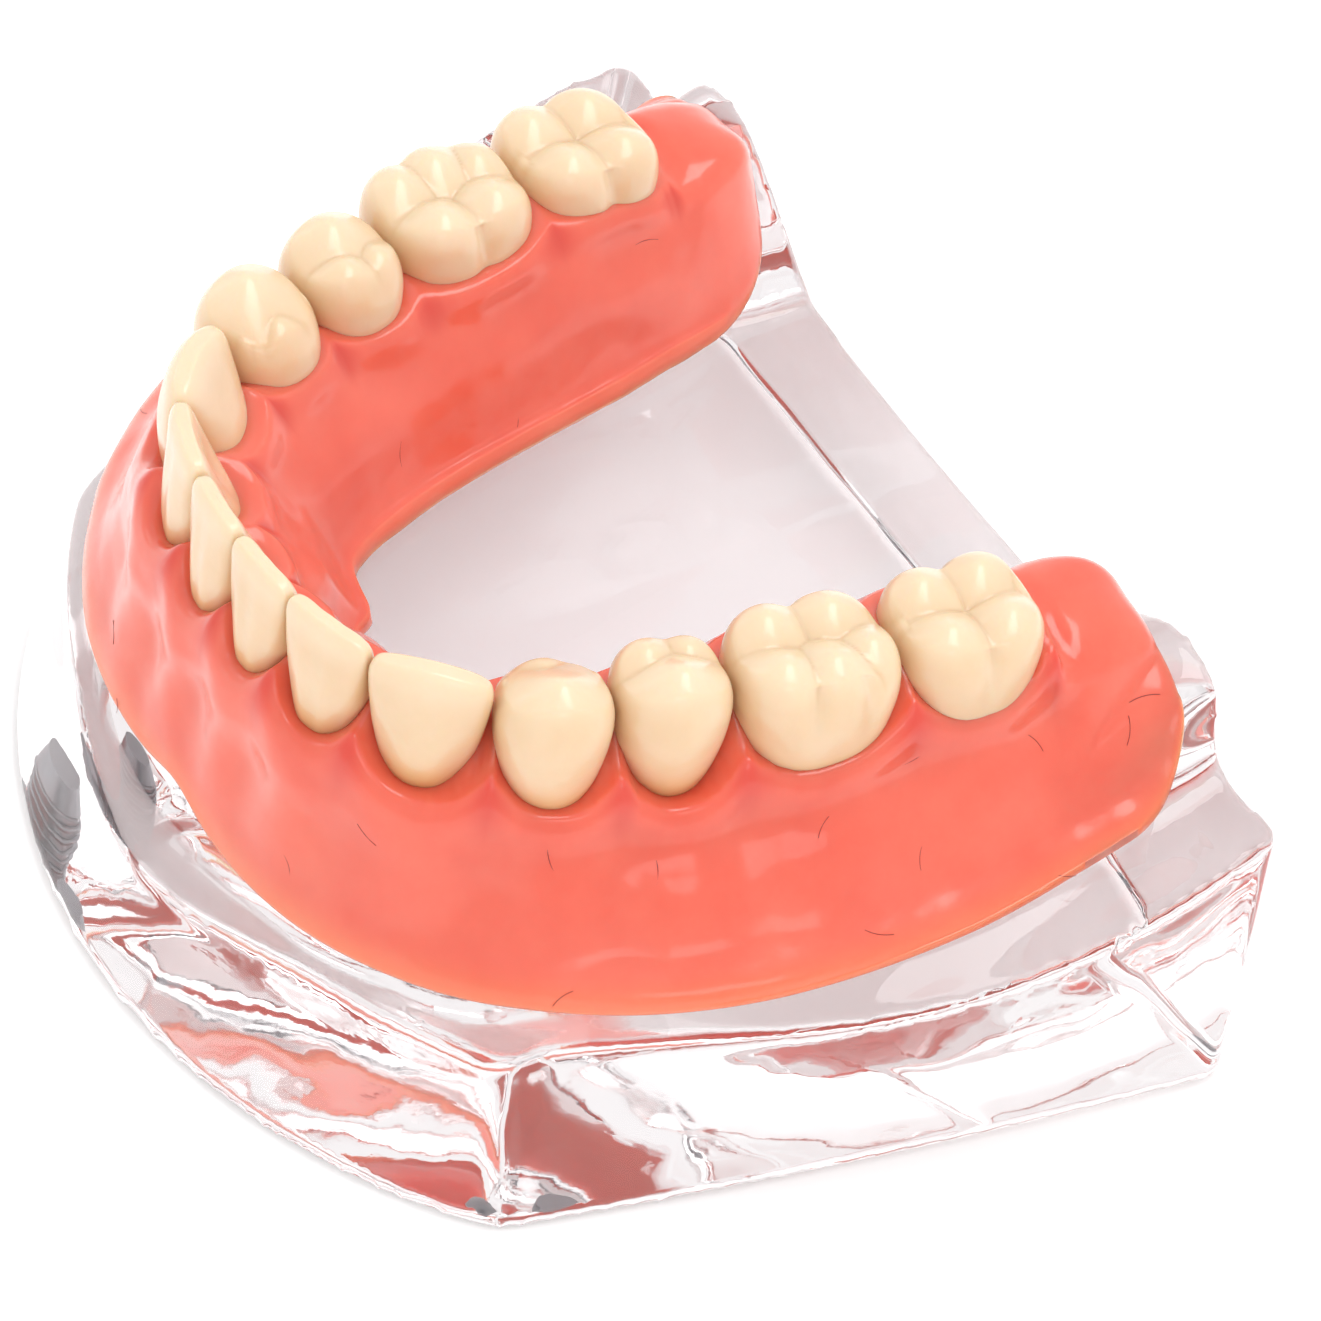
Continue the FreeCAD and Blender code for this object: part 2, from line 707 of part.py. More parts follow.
blank = jaw_blank()
ridge = doc.addObject("Part::Common", "ridge_in_block")
ridge.Base = blank
ridge.Tool = feature("ridge", ridge_solid(0.0))
floor = doc.addObject("Part::Common", "floor_in_block")
floor.Base = blank
floor.Tool = tongue_floor("tongue_floor", 0.0)
jaw_solid = doc.addObject("Part::Fuse", "jaw_solid")
jaw_solid.Base = ridge
jaw_solid.Tool = floor
sockets = doc.addObject("Part::MultiFuse", "sockets")
sockets.Shapes = [piece for rim in rims for piece in implant_socket(rim)]
jaw = doc.addObject("Part::Cut", "jaw_base")
jaw.Label = "jaw_base"
jaw.Base = jaw_solid
jaw.Tool = sockets
sub_parts.append(jaw)

teeth = []
for name, kind, width, station in tooth_stations():
    for side_name, sign in SIDES:
        teeth.append(feature("%s_%s" % (side_name, name), tooth_solid(sign * station, kind, width)))
sub_parts += teeth

gap = size("denture_gap")
hollow_floor = tongue_floor("hollow_floor", gap)
doc.recompute()
hollow = feature("hollow", union([ridge_solid(gap), hollow_floor.Shape] + [cap_recess(rim) for rim in rims]))
blank_denture = feature("denture_blank", denture_blank())
seats = feature("tooth_seats", Part.makeCompound([tooth.Shape for tooth in teeth]))
denture_cut = doc.addObject("Part::Cut", "denture_hollowed")
denture_cut.Base = blank_denture
denture_cut.Tool = hollow
denture = doc.addObject("Part::Cut", "denture_base")
denture.Label = "denture_base"
denture.Base = denture_cut
denture.Tool = seats
sub_parts.append(denture)

doc.recompute()
for item in doc.Objects:
    if "Invalid" in item.State or "Error" in item.State:
        raise RuntimeError("failed: %s %s" % (item.Name, item.State))
for item in sub_parts:
    shape = item.Shape
    if shape.isNull() or not shape.isValid() or len(shape.Solids) != 1:
        raise RuntimeError("bad shape: %s, %d solids" % (item.Label, len(shape.Solids)))

os.makedirs("parts", exist_ok=True)
for item in sub_parts:
    item.Shape.exportStep("parts/%s.step" % item.Label)
    print("%-26s %9.1f mm3" % (item.Label, item.Shape.Volume))
print("%d sub-parts" % len(sub_parts))
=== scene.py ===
# %% [markdown]
# # A lower-jaw demonstration model with a removable denture
# A dentist shows this model to a patient. A clear acrylic jaw holds four metal implants.
# A coral-pink denture with fourteen cream teeth lifts straight off it. We build each piece
# in code, in metres, around a fixed frame that says where everything goes.

# %% Load the frame
import math

import bmesh
import bpy
import numpy as np
from mathutils import Matrix, Vector, noise
from mathutils.bvhtree import BVHTree


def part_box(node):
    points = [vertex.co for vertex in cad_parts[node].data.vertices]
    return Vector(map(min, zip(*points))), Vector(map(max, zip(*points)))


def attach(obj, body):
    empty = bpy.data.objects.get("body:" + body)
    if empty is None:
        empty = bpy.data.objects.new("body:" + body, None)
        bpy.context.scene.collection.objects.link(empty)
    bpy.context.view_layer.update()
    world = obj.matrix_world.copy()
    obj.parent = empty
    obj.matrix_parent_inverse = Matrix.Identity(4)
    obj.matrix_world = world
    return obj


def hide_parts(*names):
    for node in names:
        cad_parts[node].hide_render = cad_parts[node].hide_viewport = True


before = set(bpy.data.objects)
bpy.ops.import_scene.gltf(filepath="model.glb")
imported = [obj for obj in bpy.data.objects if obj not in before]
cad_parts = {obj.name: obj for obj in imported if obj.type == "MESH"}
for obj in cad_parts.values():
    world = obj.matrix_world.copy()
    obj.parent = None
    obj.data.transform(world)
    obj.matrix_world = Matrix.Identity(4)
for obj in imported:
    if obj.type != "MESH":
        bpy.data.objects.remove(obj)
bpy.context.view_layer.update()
MM = 0.001
scene = bpy.context.scene

# %% [markdown]
# ## The arch
# Teeth, gum and ridge all follow one horseshoe curve. We measure along it from the midline,
# in millimetres: that number is a *station*. A table gives a value at a few stations, and a
# smooth curve through the table gives it everywhere else. Working in stations turns a hard
# curved shape into an easy straight one.

# %% Arch curve and smooth tables
HALF_SPAN = 22.1
FRONT_Y = -21.05
ARCH_LENGTH = 42.2
FLATNESS = 0.21
POWER = 6.7


def arch_y(x):
    """How far back the arch is at a distance from the midline, mm."""
    share = np.abs(x) / HALF_SPAN
    return FRONT_Y + ARCH_LENGTH * (FLATNESS * share ** 2 + (1 - FLATNESS) * share ** POWER)


ARCH_X = np.arange(0.0, 23.6, 0.01)
ARCH_Y = arch_y(ARCH_X)
ARCH_S = np.concatenate([[0.0], np.cumsum(np.hypot(np.diff(ARCH_X), np.diff(ARCH_Y)))])


def smooth_table(table, station):
    """Smooth values of a (station, value) table, the same on both sides of the midline."""
    xs = np.array([row[0] for row in table], float)
    ys = np.array([row[1] for row in table], float)
    slopes = np.zeros(len(xs))
    slopes[1:-1] = (ys[2:] - ys[:-2]) / (xs[2:] - xs[:-2])
    slopes[-1] = (ys[-1] - ys[-2]) / (xs[-1] - xs[-2])
    d = np.clip(np.abs(np.asarray(station, float)), 0, xs[-1])
    low = np.clip(np.searchsorted(xs, d, side="right") - 1, 0, len(xs) - 2)
    span = xs[low + 1] - xs[low]
    t = (d - xs[low]) / span
    return ((2 * t ** 3 - 3 * t ** 2 + 1) * ys[low] + (3 * t ** 2 - 2 * t ** 3) * ys[low + 1]
            + (t ** 3 - 2 * t ** 2 + t) * span * slopes[low]
            + (t ** 3 - t ** 2) * span * slopes[low + 1])


def arch_point(station):
    """Plan point of the arch at a signed station, mm."""
    d = np.abs(station)
    return np.sign(station) * np.interp(d, ARCH_S, ARCH_X), np.interp(d, ARCH_S, ARCH_Y)


FAN_ANGLE = [(0, 0), (5.2, 13), (10.9, 28), (17.4, 51), (24.1, 67), (31, 76.5), (41.8, 83),
             (66, 86)]


def place(station, reach, height):
    """Points at stations, reaches outwards from the arch, and heights, mm."""
    x, y = arch_point(station)
    angle = np.radians(smooth_table(FAN_ANGLE, station))
    return np.stack([x + np.sign(station) * np.sin(angle) * reach,
                     y - np.cos(angle) * reach, np.broadcast_to(height, np.shape(x))], axis=-1)


def nearest_station(points):
    """Signed station of the arch point nearest to each plan point."""
    flat = np.abs(points[..., 0]).ravel(), points[..., 1].ravel()
    found = np.empty(len(flat[0]))
    step = 4
    for i in range(0, len(found), 4000):
        gap = ((flat[0][i:i + 4000, None] - ARCH_X[None, ::step]) ** 2
               + (flat[1][i:i + 4000, None] - ARCH_Y[None, ::step]) ** 2)
        found[i:i + 4000] = ARCH_S[::step][np.argmin(gap, axis=1)]
    return found.reshape(points.shape[:-1]) * np.sign(points[..., 0] + 1e-9)


print("arch length each side %.1f mm" % np.interp(22.8, ARCH_X, ARCH_S))

# %% [markdown]
# ## Where the teeth stand
# The widths below are those of a small set of denture teeth. A *phase* says where a station
# is within its tooth: 0 at the middle, 1 at the contact with the next tooth. The gum rises
# into a point where the phase is 1. The teeth are *set out* a little from the arch line.

# %% Tooth row
TEETH = [
    ("central_incisor", 5.3), ("lateral_incisor", 6.0), ("canine", 7.1), ("first_premolar", 6.9),
    ("second_premolar", 7.0), ("first_molar", 10.1), ("second_molar", 9.5),
]
SET_OUT = [(0, 0.8), (8, 0.9), (14, 1.0), (24, 1.1), (47, 1.1), (52, 0.6), (58, 0.0)]
ROW_END = sum(width for name, width in TEETH)


def tooth_phase(station):
    """0 at a tooth's middle, 1 at its contacts, and 0.35 behind the last tooth."""
    d = np.abs(np.asarray(station, float))
    phase = np.full(d.shape, 0.0)
    start = 0.0
    for name, width in TEETH:
        inside = (d >= start) & (d < start + width)
        phase = np.where(inside, np.abs(d - start - width / 2) / (width / 2), phase)
        start += width
    behind = np.clip((d - ROW_END) / 1.5, 0, 1)
    return np.where(d >= ROW_END, 1.0 + behind * (0.35 - 1.0), phase)


print("teeth each side", len(TEETH), "row ends at station %.1f mm" % ROW_END)

# %% [markdown]
# ## From numbers to a mesh
# A helper makes an object from points and faces, merges doubles, and turns the faces
# outwards. Another one draws a smooth closed line through a few control points, which is
# how every section of the gum gets its shape.

# %% Mesh helpers
def finished(name, verts, faces, smooth=True, values=None):
    """A mesh object at the origin from points in mm; values are named numbers for each point."""
    mesh = bpy.data.meshes.new(name)
    mesh.from_pydata([tuple(v) for v in np.asarray(verts, float) * MM], [], faces)
    for label, numbers in (values or {}).items():
        layer = mesh.attributes.new(label, "FLOAT", "POINT")
        layer.data.foreach_set("value", np.asarray(numbers, np.float32))
    bm = bmesh.new()
    bm.from_mesh(mesh)
    bmesh.ops.remove_doubles(bm, verts=bm.verts, dist=0.5e-6)
    bmesh.ops.recalc_face_normals(bm, faces=bm.faces)
    bm.to_mesh(mesh)
    bm.free()
    mesh.polygons.foreach_set("use_smooth", [smooth] * len(mesh.polygons))
    piece = bpy.data.objects.new(name, mesh)
    scene.collection.objects.link(piece)
    return piece


def hermite(controls, counts):
    """Points on a smooth open line through controls, an array (control, section, 2)."""
    gaps = np.linalg.norm(np.diff(controls, axis=0), axis=-1)[..., None] + 1e-6
    slope = np.diff(controls, axis=0) / gaps
    tangent = np.empty_like(controls)
    tangent[1:-1] = (slope[1:] * gaps[:-1] + slope[:-1] * gaps[1:]) / (gaps[1:] + gaps[:-1])
    tangent[0], tangent[-1] = slope[0], slope[-1]
    rows = []
    for k, count in enumerate(counts):
        for t in np.arange(count) / count:
            rows.append((2 * t ** 3 - 3 * t ** 2 + 1) * controls[k]
                        + (t ** 3 - 2 * t ** 2 + t) * gaps[k] * tangent[k]
                        + (3 * t ** 2 - 2 * t ** 3) * controls[k + 1]
                        + (t ** 3 - t ** 2) * gaps[k] * tangent[k + 1])
    rows.append(controls[-1])
    return np.array(rows)


def loop_faces(rings, around):
    """Four-sided faces between rings of points, each ring closed."""
    faces = []
    for i in range(rings - 1):
        for j in range(around):
            k = (j + 1) % around
            low, high = i * around, (i + 1) * around
            faces.append((low + j, low + k, high + k, high + j))
    return faces


def even_out(bm, verts, rounds, vertical=True):
    """Move points towards their neighbours a few times, in plan only if vertical is False."""
    for _ in range(rounds):
        bmesh.ops.smooth_vert(bm, verts=verts, factor=0.5, use_axis_x=True, use_axis_y=True,
                              use_axis_z=vertical)


def report(piece):
    """Print a piece's size and how many triangles it has."""
    co = np.array([v.co for v in piece.data.vertices])
    size = (co.max(0) - co.min(0)) / MM
    triangles = sum(len(p.vertices) - 2 for p in piece.data.polygons)
    print("%-26s %5.1f x %5.1f x %5.1f mm, %d triangles" % (piece.name, *size, triangles))


# %% [markdown]
# ## Shader parts used more than once
# Acrylic, resin and metal all have small uneven patches and fine waves. We make each effect
# once as a node group with named inputs, and drop it into every material that needs it.

# %% Node helpers
def new_group(name, inputs, outputs):
    """An empty shader node group with named sockets; inputs are (name, type, value)."""
    tree = bpy.data.node_groups.new(name, "ShaderNodeTree")
    for label, kind, value in inputs:
        socket = tree.interface.new_socket(label, in_out="INPUT", socket_type=kind)
        socket.default_value = value
    for label, kind in outputs:
        tree.interface.new_socket(label, in_out="OUTPUT", socket_type=kind)
    return tree, tree.nodes.new("NodeGroupInput"), tree.nodes.new("NodeGroupOutput")


def node(tree, kind, links=None, **settings):
    """A node with its settings, and with inputs linked or set by name or number."""
    made = tree.nodes.new(kind)
    for key, value in settings.items():
        setattr(made, key, value)
    for key, value in (links or {}).items():
        if isinstance(value, bpy.types.NodeSocket):
            tree.links.new(value, made.inputs[key])
        else:
            made.inputs[key].default_value = value
    return made


FLOAT = "NodeSocketFloat"

# Patches: a soft mask that drifts over the surface.
patches, p_in, p_out = new_group(
    "soft_patches", [("Scale", FLOAT, 120.0), ("Detail", FLOAT, 3.0), ("Contrast", FLOAT, 1.0)],
    [("Mask", FLOAT)])
where = node(patches, "ShaderNodeTexCoord")
cloud = node(patches, "ShaderNodeTexNoise", {"Vector": where.outputs["Object"],
                                            "Scale": p_in.outputs["Scale"],
                                            "Detail": p_in.outputs["Detail"]})
centred = node(patches, "ShaderNodeMath", {0: cloud.outputs["Fac"], 1: 0.5}, operation="SUBTRACT")
spread = node(patches, "ShaderNodeMath", {0: centred.outputs[0], 1: p_in.outputs["Contrast"]},
              operation="MULTIPLY")
lifted = node(patches, "ShaderNodeMath", {0: spread.outputs[0], 1: 0.5}, operation="ADD",
              use_clamp=True)
patches.links.new(lifted.outputs[0], p_out.inputs["Mask"])

# Waves: a gentle height for surfaces that were cast or polished by hand.
waves, w_in, w_out = new_group(
    "hand_polish", [("Broad Scale", FLOAT, 60.0), ("Fine Scale", FLOAT, 900.0),
                    ("Fine Share", FLOAT, 0.2)], [("Height", FLOAT)])
where = node(waves, "ShaderNodeTexCoord")
broad = node(waves, "ShaderNodeTexNoise", {"Vector": where.outputs["Object"],
                                          "Scale": w_in.outputs["Broad Scale"], "Detail": 1.0})
fine = node(waves, "ShaderNodeTexNoise", {"Vector": where.outputs["Object"],
                                         "Scale": w_in.outputs["Fine Scale"], "Detail": 2.0})
fine_part = node(waves, "ShaderNodeMath", {0: fine.outputs["Fac"], 1: w_in.outputs["Fine Share"]},
                 operation="MULTIPLY")
total = node(waves, "ShaderNodeMath", {0: broad.outputs["Fac"], 1: fine_part.outputs[0]},
             operation="ADD")
waves.links.new(total.outputs[0], w_out.inputs["Height"])


def finish_material(name, **sockets):
    """A material with its Principled shader; sockets are set by name, with _ for a space."""
    material = bpy.data.materials.new(name)
    material.use_nodes = True
    shader = material.node_tree.nodes["Principled BSDF"]
    for label, value in sockets.items():
        shader.inputs[label.replace("_", " ")].default_value = value
    return material, material.node_tree, shader


def use_group(tree, group, **inputs):
    """A group node in a material, with its inputs set by name."""
    made = tree.nodes.new("ShaderNodeGroup")
    made.node_tree = group
    for label, value in inputs.items():
        made.inputs[label.replace("_", " ")].default_value = value
    return made


def mix_colour(tree, factor, a, b, blend="MIX"):
    """A colour mix; a and b are colours or sockets."""
    made = tree.nodes.new("ShaderNodeMix")
    made.data_type = "RGBA"
    made.blend_type = blend
    for key, value in ((0, factor), (6, a), (7, b)):
        if isinstance(value, bpy.types.NodeSocket):
            tree.links.new(value, made.inputs[key])
        else:
            made.inputs[key].default_value = value
    return made.outputs[2]


def ramp_value(tree, socket, low, high, to_low=0.0, to_high=1.0):
    """A number carried smoothly from one range to another."""
    made = node(tree, "ShaderNodeMapRange", {"Value": socket, "From Min": low, "From Max": high,
                                             "To Min": to_low, "To Max": to_high},
                interpolation_type="SMOOTHSTEP")
    return made.outputs["Result"]


def bump(tree, shader, height, strength, distance):
    """Feed a height to the shader's normal."""
    made = node(tree, "ShaderNodeBump", {"Height": height, "Strength": strength,
                                        "Distance": distance})
    tree.links.new(made.outputs["Normal"], shader.inputs["Normal"])


print("shader groups:", patches.name, waves.name)

# %% [markdown]
# ## The clear jaw
# The jaw is one polished acrylic casting. Its exact shape is already in the frame, with
# holes for the implants. A clear part shows any sliver of air round a screw as a bright
# shell, so we plug the holes and let the metal sit straight in the acrylic. A voxel remesh
# joins everything into one even skin; smoothing then rolls the edges over a little, as
# polishing does, and a slow noise gives the faces the faint waves of a casting.

# %% Clear jaw block
IMPLANTS = ["left_canine", "left_premolar", "right_canine", "right_premolar"]
PLUG_RADIUS = 2.05
JAW_VOXEL = 0.42 * MM
POLISH_ROUNDS, FOOT_ROUNDS = 6, 18
FOOT_KEPT = 1.0
CAST_WAVE = 0.05
CAST_WAVE_SCALE = 160.0
CAST_WAVE_FOOT = 0.6
PLUG_INSET_FOOT, PLUG_INSET_TOP = 0.3, 0.5
PLUG_SIDES = 24


def plug(place_name):
    """A cylinder that fills an implant's hole, mm."""
    low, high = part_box("implant_" + place_name)
    centre = (low + high) / 2 / MM
    bottom, top = low.z / MM + PLUG_INSET_FOOT, high.z / MM - PLUG_INSET_TOP
    ring = [(PLUG_RADIUS * math.cos(a), PLUG_RADIUS * math.sin(a))
            for a in np.linspace(0, 2 * math.pi, PLUG_SIDES, endpoint=False)]
    verts = [(centre.x + x, centre.y + y, z) for z in (bottom, top) for x, y in ring]
    faces = loop_faces(2, PLUG_SIDES)
    faces += [tuple(range(PLUG_SIDES)), tuple(range(PLUG_SIDES, 2 * PLUG_SIDES))]
    return finished("plug_" + place_name, verts, faces)


def copied(node_name, name):
    """A new object with a merged copy of a CAD node's mesh."""
    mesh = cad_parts[node_name].data.copy()
    mesh.name = name
    bm = bmesh.new()
    bm.from_mesh(mesh)
    bmesh.ops.remove_doubles(bm, verts=bm.verts, dist=1e-6)
    bm.to_mesh(mesh)
    bm.free()
    piece = bpy.data.objects.new(name, mesh)
    scene.collection.objects.link(piece)
    return piece


def bake_modifiers(piece):
    """Replace a piece's mesh with what its modifiers make, and drop them."""
    bpy.context.view_layer.update()
    evaluated = piece.evaluated_get(bpy.context.evaluated_depsgraph_get())
    mesh = bpy.data.meshes.new_from_object(evaluated)
    mesh.name = piece.name
    piece.modifiers.clear()
    piece.data = mesh
    return piece


jaw = copied("jaw_base", "clear_jaw_block")
plugs = [plug(name) for name in IMPLANTS]
bm = bmesh.new()
for part in [jaw] + plugs:
    bm.from_mesh(part.data)
bm.to_mesh(jaw.data)
bm.free()
for part in plugs:
    bpy.data.objects.remove(part)
remesh = jaw.modifiers.new("even_skin", "REMESH")
remesh.mode = "VOXEL"
remesh.voxel_size = JAW_VOXEL
bake_modifiers(jaw)
bm = bmesh.new()
bm.from_mesh(jaw.data)
upper = [v for v in bm.verts if v.co.z > FOOT_KEPT * MM]
foot = [v for v in bm.verts if v.co.z <= FOOT_KEPT * MM]
# The foot is only evened in plan, so its edge stays crisp.
even_out(bm, upper, POLISH_ROUNDS)
even_out(bm, foot, FOOT_ROUNDS, vertical=False)
bm.normal_update()
for v in bm.verts:
    if v.co.z > CAST_WAVE_FOOT * MM:
        wave = noise.noise(v.co * CAST_WAVE_SCALE, noise_basis="PERLIN_NEW")
        v.co += v.normal * (CAST_WAVE * MM * wave)
bm.to_mesh(jaw.data)
bm.free()
jaw.data.polygons.foreach_set("use_smooth", [True] * len(jaw.data.polygons))
report(jaw)

# %% [markdown]
# ## Clear acrylic
# Acrylic bends light a little less than glass, at 1.49. Its base colour carries a faint, even
# pink tint, a painted reflection of the pink light that the gum sends into the block. The only
# things that vary are very fine hand-polishing marks and a hint of haze, both from the shared
# groups. Without them the block looks computed rather than cast.

# %% Clear acrylic material
# Painted reflection: the faint pink in the base colour stands in for pink light passed on from the
# gum.
clear, tree, shader = finish_material(
    "clear_acrylic", Base_Color=(0.988, 0.950, 0.958, 1), IOR=1.49, Transmission_Weight=1.0,
    Roughness=0.0)
haze = use_group(tree, patches, Scale=90.0, Detail=4.0, Contrast=1.4)
haze_rough = ramp_value(tree, haze.outputs["Mask"], 0.2, 0.9, 0.0, 0.035)
tree.links.new(haze_rough, shader.inputs["Roughness"])
swirl = use_group(tree, waves, Broad_Scale=130.0, Fine_Scale=1200.0, Fine_Share=0.02)
bump(tree, shader, swirl.outputs["Height"], 0.22, 0.00018)
jaw.data.materials.clear()
jaw.data.materials.append(clear)
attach(jaw, "base")
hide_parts("jaw_base")
print("clear acrylic on", jaw.name)

# %% [markdown]
# ## The denture's gum
# The gum is one moulded horseshoe. A section across it runs from the tongue side, up the
# inner slope, over a rolled margin, across the row under the teeth, over the cheek-side
# margin and down to a thick rounded border, then back along the hollow that sits on the
# ridge. We move that section along the arch. The margins dip at each tooth's middle and rise
# to a point between teeth, and a root makes the wall swell below each tooth. A plain swept
# tube would miss all of that, so every control point is a small function of the station.

# %% Gum tables and the hollow
CREST_SHIFT = [(0, -2.8), (14, -2.2), (27, -1.0), (44, 0.0), (52, 1.0), (59, 2.5), (66, 3.5)]
CREST_RISE = [(0, 0), (30, 0), (38, 0.09), (44, 0.21), (50, 0.43), (55, 0.7), (59, 0.92), (66, 1)]
BORDER_REACH = [(0, 3.3), (8, 4.4), (14, 5.9), (20, 8.6), (27, 11.2), (34, 12.4), (44, 12.2),
                (52, 11.0), (66, 9.0)]
BORDER_HEIGHT = [(0, 13.3), (14, 14.0), (24, 15.1), (31, 15.9), (44, 17.4), (52, 18.7),
                 (60, 20.8), (70, 24.0)]
EDGE_REACH = [(0, 5.8), (8, 7.6), (14, 9.2), (20, 11.2), (27, 13.4), (34, 14.7), (44, 15.0),
              (66, 14.6)]
EDGE_HEIGHT = [(0, 9.0), (14, 10.2), (24, 12.0), (31, 13.2), (44, 16.0), (52, 18.2),
               (60, 20.8), (70, 24.0)]
TONGUE_REACH = [(0, 11.0), (14, 10.6), (27, 9.8), (44, 9.2), (52, 8.6), (66, 10.5)]
CHEEK_NECK = [(0, 0.9), (14, 1.7), (20, 2.6), (27, 3.1), (36, 3.9), (47, 3.7), (66, 3.2)]
TONGUE_NECK = [(0, -5.0), (14, -5.3), (27, -5.0), (36, -5.6), (47, -5.2), (66, -4.4)]
CHEEK_MARGIN = [(0, 26.1), (9, 26.1), (15, 25.7), (22, 25.9), (29, 25.6), (37, 27.2), (47, 28.2),
                (53, 28.4), (66, 28.2)]
TONGUE_MARGIN = [(0, 28.4), (9, 28.7), (15, 29.3), (22, 29.6), (29, 29.4), (37, 30.2),
                 (47, 30.5), (53, 29.2), (66, 28.3)]
RIDGE_HEIGHT = 19.6
PAD_HEIGHT = 27.2
FLOOR_HEIGHT = 18.9
FIT_GAP = 0.38
FLANGE = 1.1


def hollow_line(station):
    """The gum's underside: the ridge's section moved out by the fit gap, (point, section, 2)."""
    shift = smooth_table(CREST_SHIFT, station)
    crest = RIDGE_HEIGHT + (PAD_HEIGHT - RIDGE_HEIGHT) * smooth_table(CREST_RISE, station)
    tongue = -smooth_table(TONGUE_REACH, station) - 1.0
    low = FLOOR_HEIGHT - 0.5 + 0 * tongue
    border = smooth_table(BORDER_REACH, station)
    border_z = smooth_table(BORDER_HEIGHT, station)
    shoulder = border - FLANGE
    run = shoulder - (shift + 2.0)
    line = np.array([
        [tongue - 1.5, low - 0.3],
        [tongue, low],
        [0.5 * (tongue + shift - 2.5), low + 0.45 * (crest - low)],
        [shift - 2.4, crest - 0.35 - 0.04 * (crest - RIDGE_HEIGHT)],
        [shift, crest],
        [shift + 2.0, crest - 0.45],
        [shift + 2.0 + 0.55 * run, border_z + 0.62 * (crest - border_z)],
        [shoulder, border_z - 0.1],
        [smooth_table(EDGE_REACH, station), smooth_table(EDGE_HEIGHT, station)],
    ]).transpose(0, 2, 1)
    before = np.concatenate([line[:1], line[:-1]])
    after = np.concatenate([line[1:], line[-1:]])
    run_u, rise = (after - before)[..., 0], (after - before)[..., 1]
    length = np.hypot(run_u, rise)
    moved = line + FIT_GAP * np.stack([-rise / length, run_u / length], axis=-1)
    return hermite(moved, [8] * (len(line) - 1))


def hollow_height(line, reach):
    """Height of the underside at reaches (point, section)."""
    return np.stack([np.interp(reach[:, i], line[:, i, 0], line[:, i, 1])
                     for i in range(line.shape[1])], axis=1)


# %% Gum sections
END_STATION = float(np.interp(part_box("denture_base")[1].y / MM, ARCH_Y, ARCH_S))
END_ROUND = 4.6
STATION_STEP = 0.32
PAPILLA_CHEEK, PAPILLA_TONGUE = 2.5, 0.5
NOTCH_WIDTH = 2.6

half = np.arange(0, END_STATION - END_ROUND, STATION_STEP)
tail = END_STATION - END_ROUND + END_ROUND * np.sin(np.linspace(0, math.pi / 2, 18))
half = np.concatenate([half, tail])
stations = np.concatenate([-half[::-1], half[1:]])
closing = np.sqrt(np.clip(1 - (np.clip(np.abs(stations) - (END_STATION - END_ROUND), 0, None)
                               / END_ROUND) ** 2, 0, 1))

tongue = -smooth_table(TONGUE_REACH, stations)
frenum = np.exp(-(stations / NOTCH_WIDTH) ** 2)
tongue = tongue + 2.4 * frenum
border = smooth_table(BORDER_REACH, stations)
border_z = smooth_table(BORDER_HEIGHT, stations) + 0.9 * frenum
cheek_neck = smooth_table(CHEEK_NECK, stations) + smooth_table(SET_OUT, stations)
tongue_neck = smooth_table(TONGUE_NECK, stations) + smooth_table(SET_OUT, stations)
cheek_z = smooth_table(CHEEK_MARGIN, stations)
tongue_z = smooth_table(TONGUE_MARGIN, stations)

cheek_phase = tooth_phase(nearest_station(place(stations, cheek_neck, 0.0)))
tongue_phase = tooth_phase(nearest_station(place(stations, tongue_neck, 0.0)))
wall_phase = tooth_phase(nearest_station(place(stations, cheek_neck + 1.5, 0.0)))
behind = np.clip((np.abs(stations) - ROW_END) / 2.0, 0, 1)
cheek_rise = cheek_phase ** 2.4 * (1 - behind)
tongue_rise = tongue_phase ** 2.4 * (1 - behind)
root = (np.cos(np.clip(wall_phase, 0, 1) * math.pi / 2) ** 2 - 0.45) * (1 - behind)
side_share = np.clip((np.abs(stations) - 18) / 8, 0, 1)
root_swell = root * (0.85 - 0.15 * side_share)

cheek_crest_z = cheek_z + PAPILLA_CHEEK * cheek_rise
tongue_crest_z = tongue_z + PAPILLA_TONGUE * tongue_rise
cheek_u = cheek_neck + 0.15 - 1.0 * cheek_rise
tongue_u = tongue_neck - 0.1 + 1.2 * tongue_rise
line = hollow_line(stations)
LIP_TONGUE, LIP_CHEEK = 0.35, 0.75
inner_left = tongue + LIP_TONGUE
inner_right = border - LIP_CHEEK
low_left = hollow_height(line, inner_left[None])[0]
low_right = hollow_height(line, inner_right[None])[0]
fill = np.maximum(cheek_rise, tongue_rise)
mid_z = 0.5 * (cheek_crest_z + tongue_crest_z) + 0.3 + 0.7 * behind + 0.4 * fill

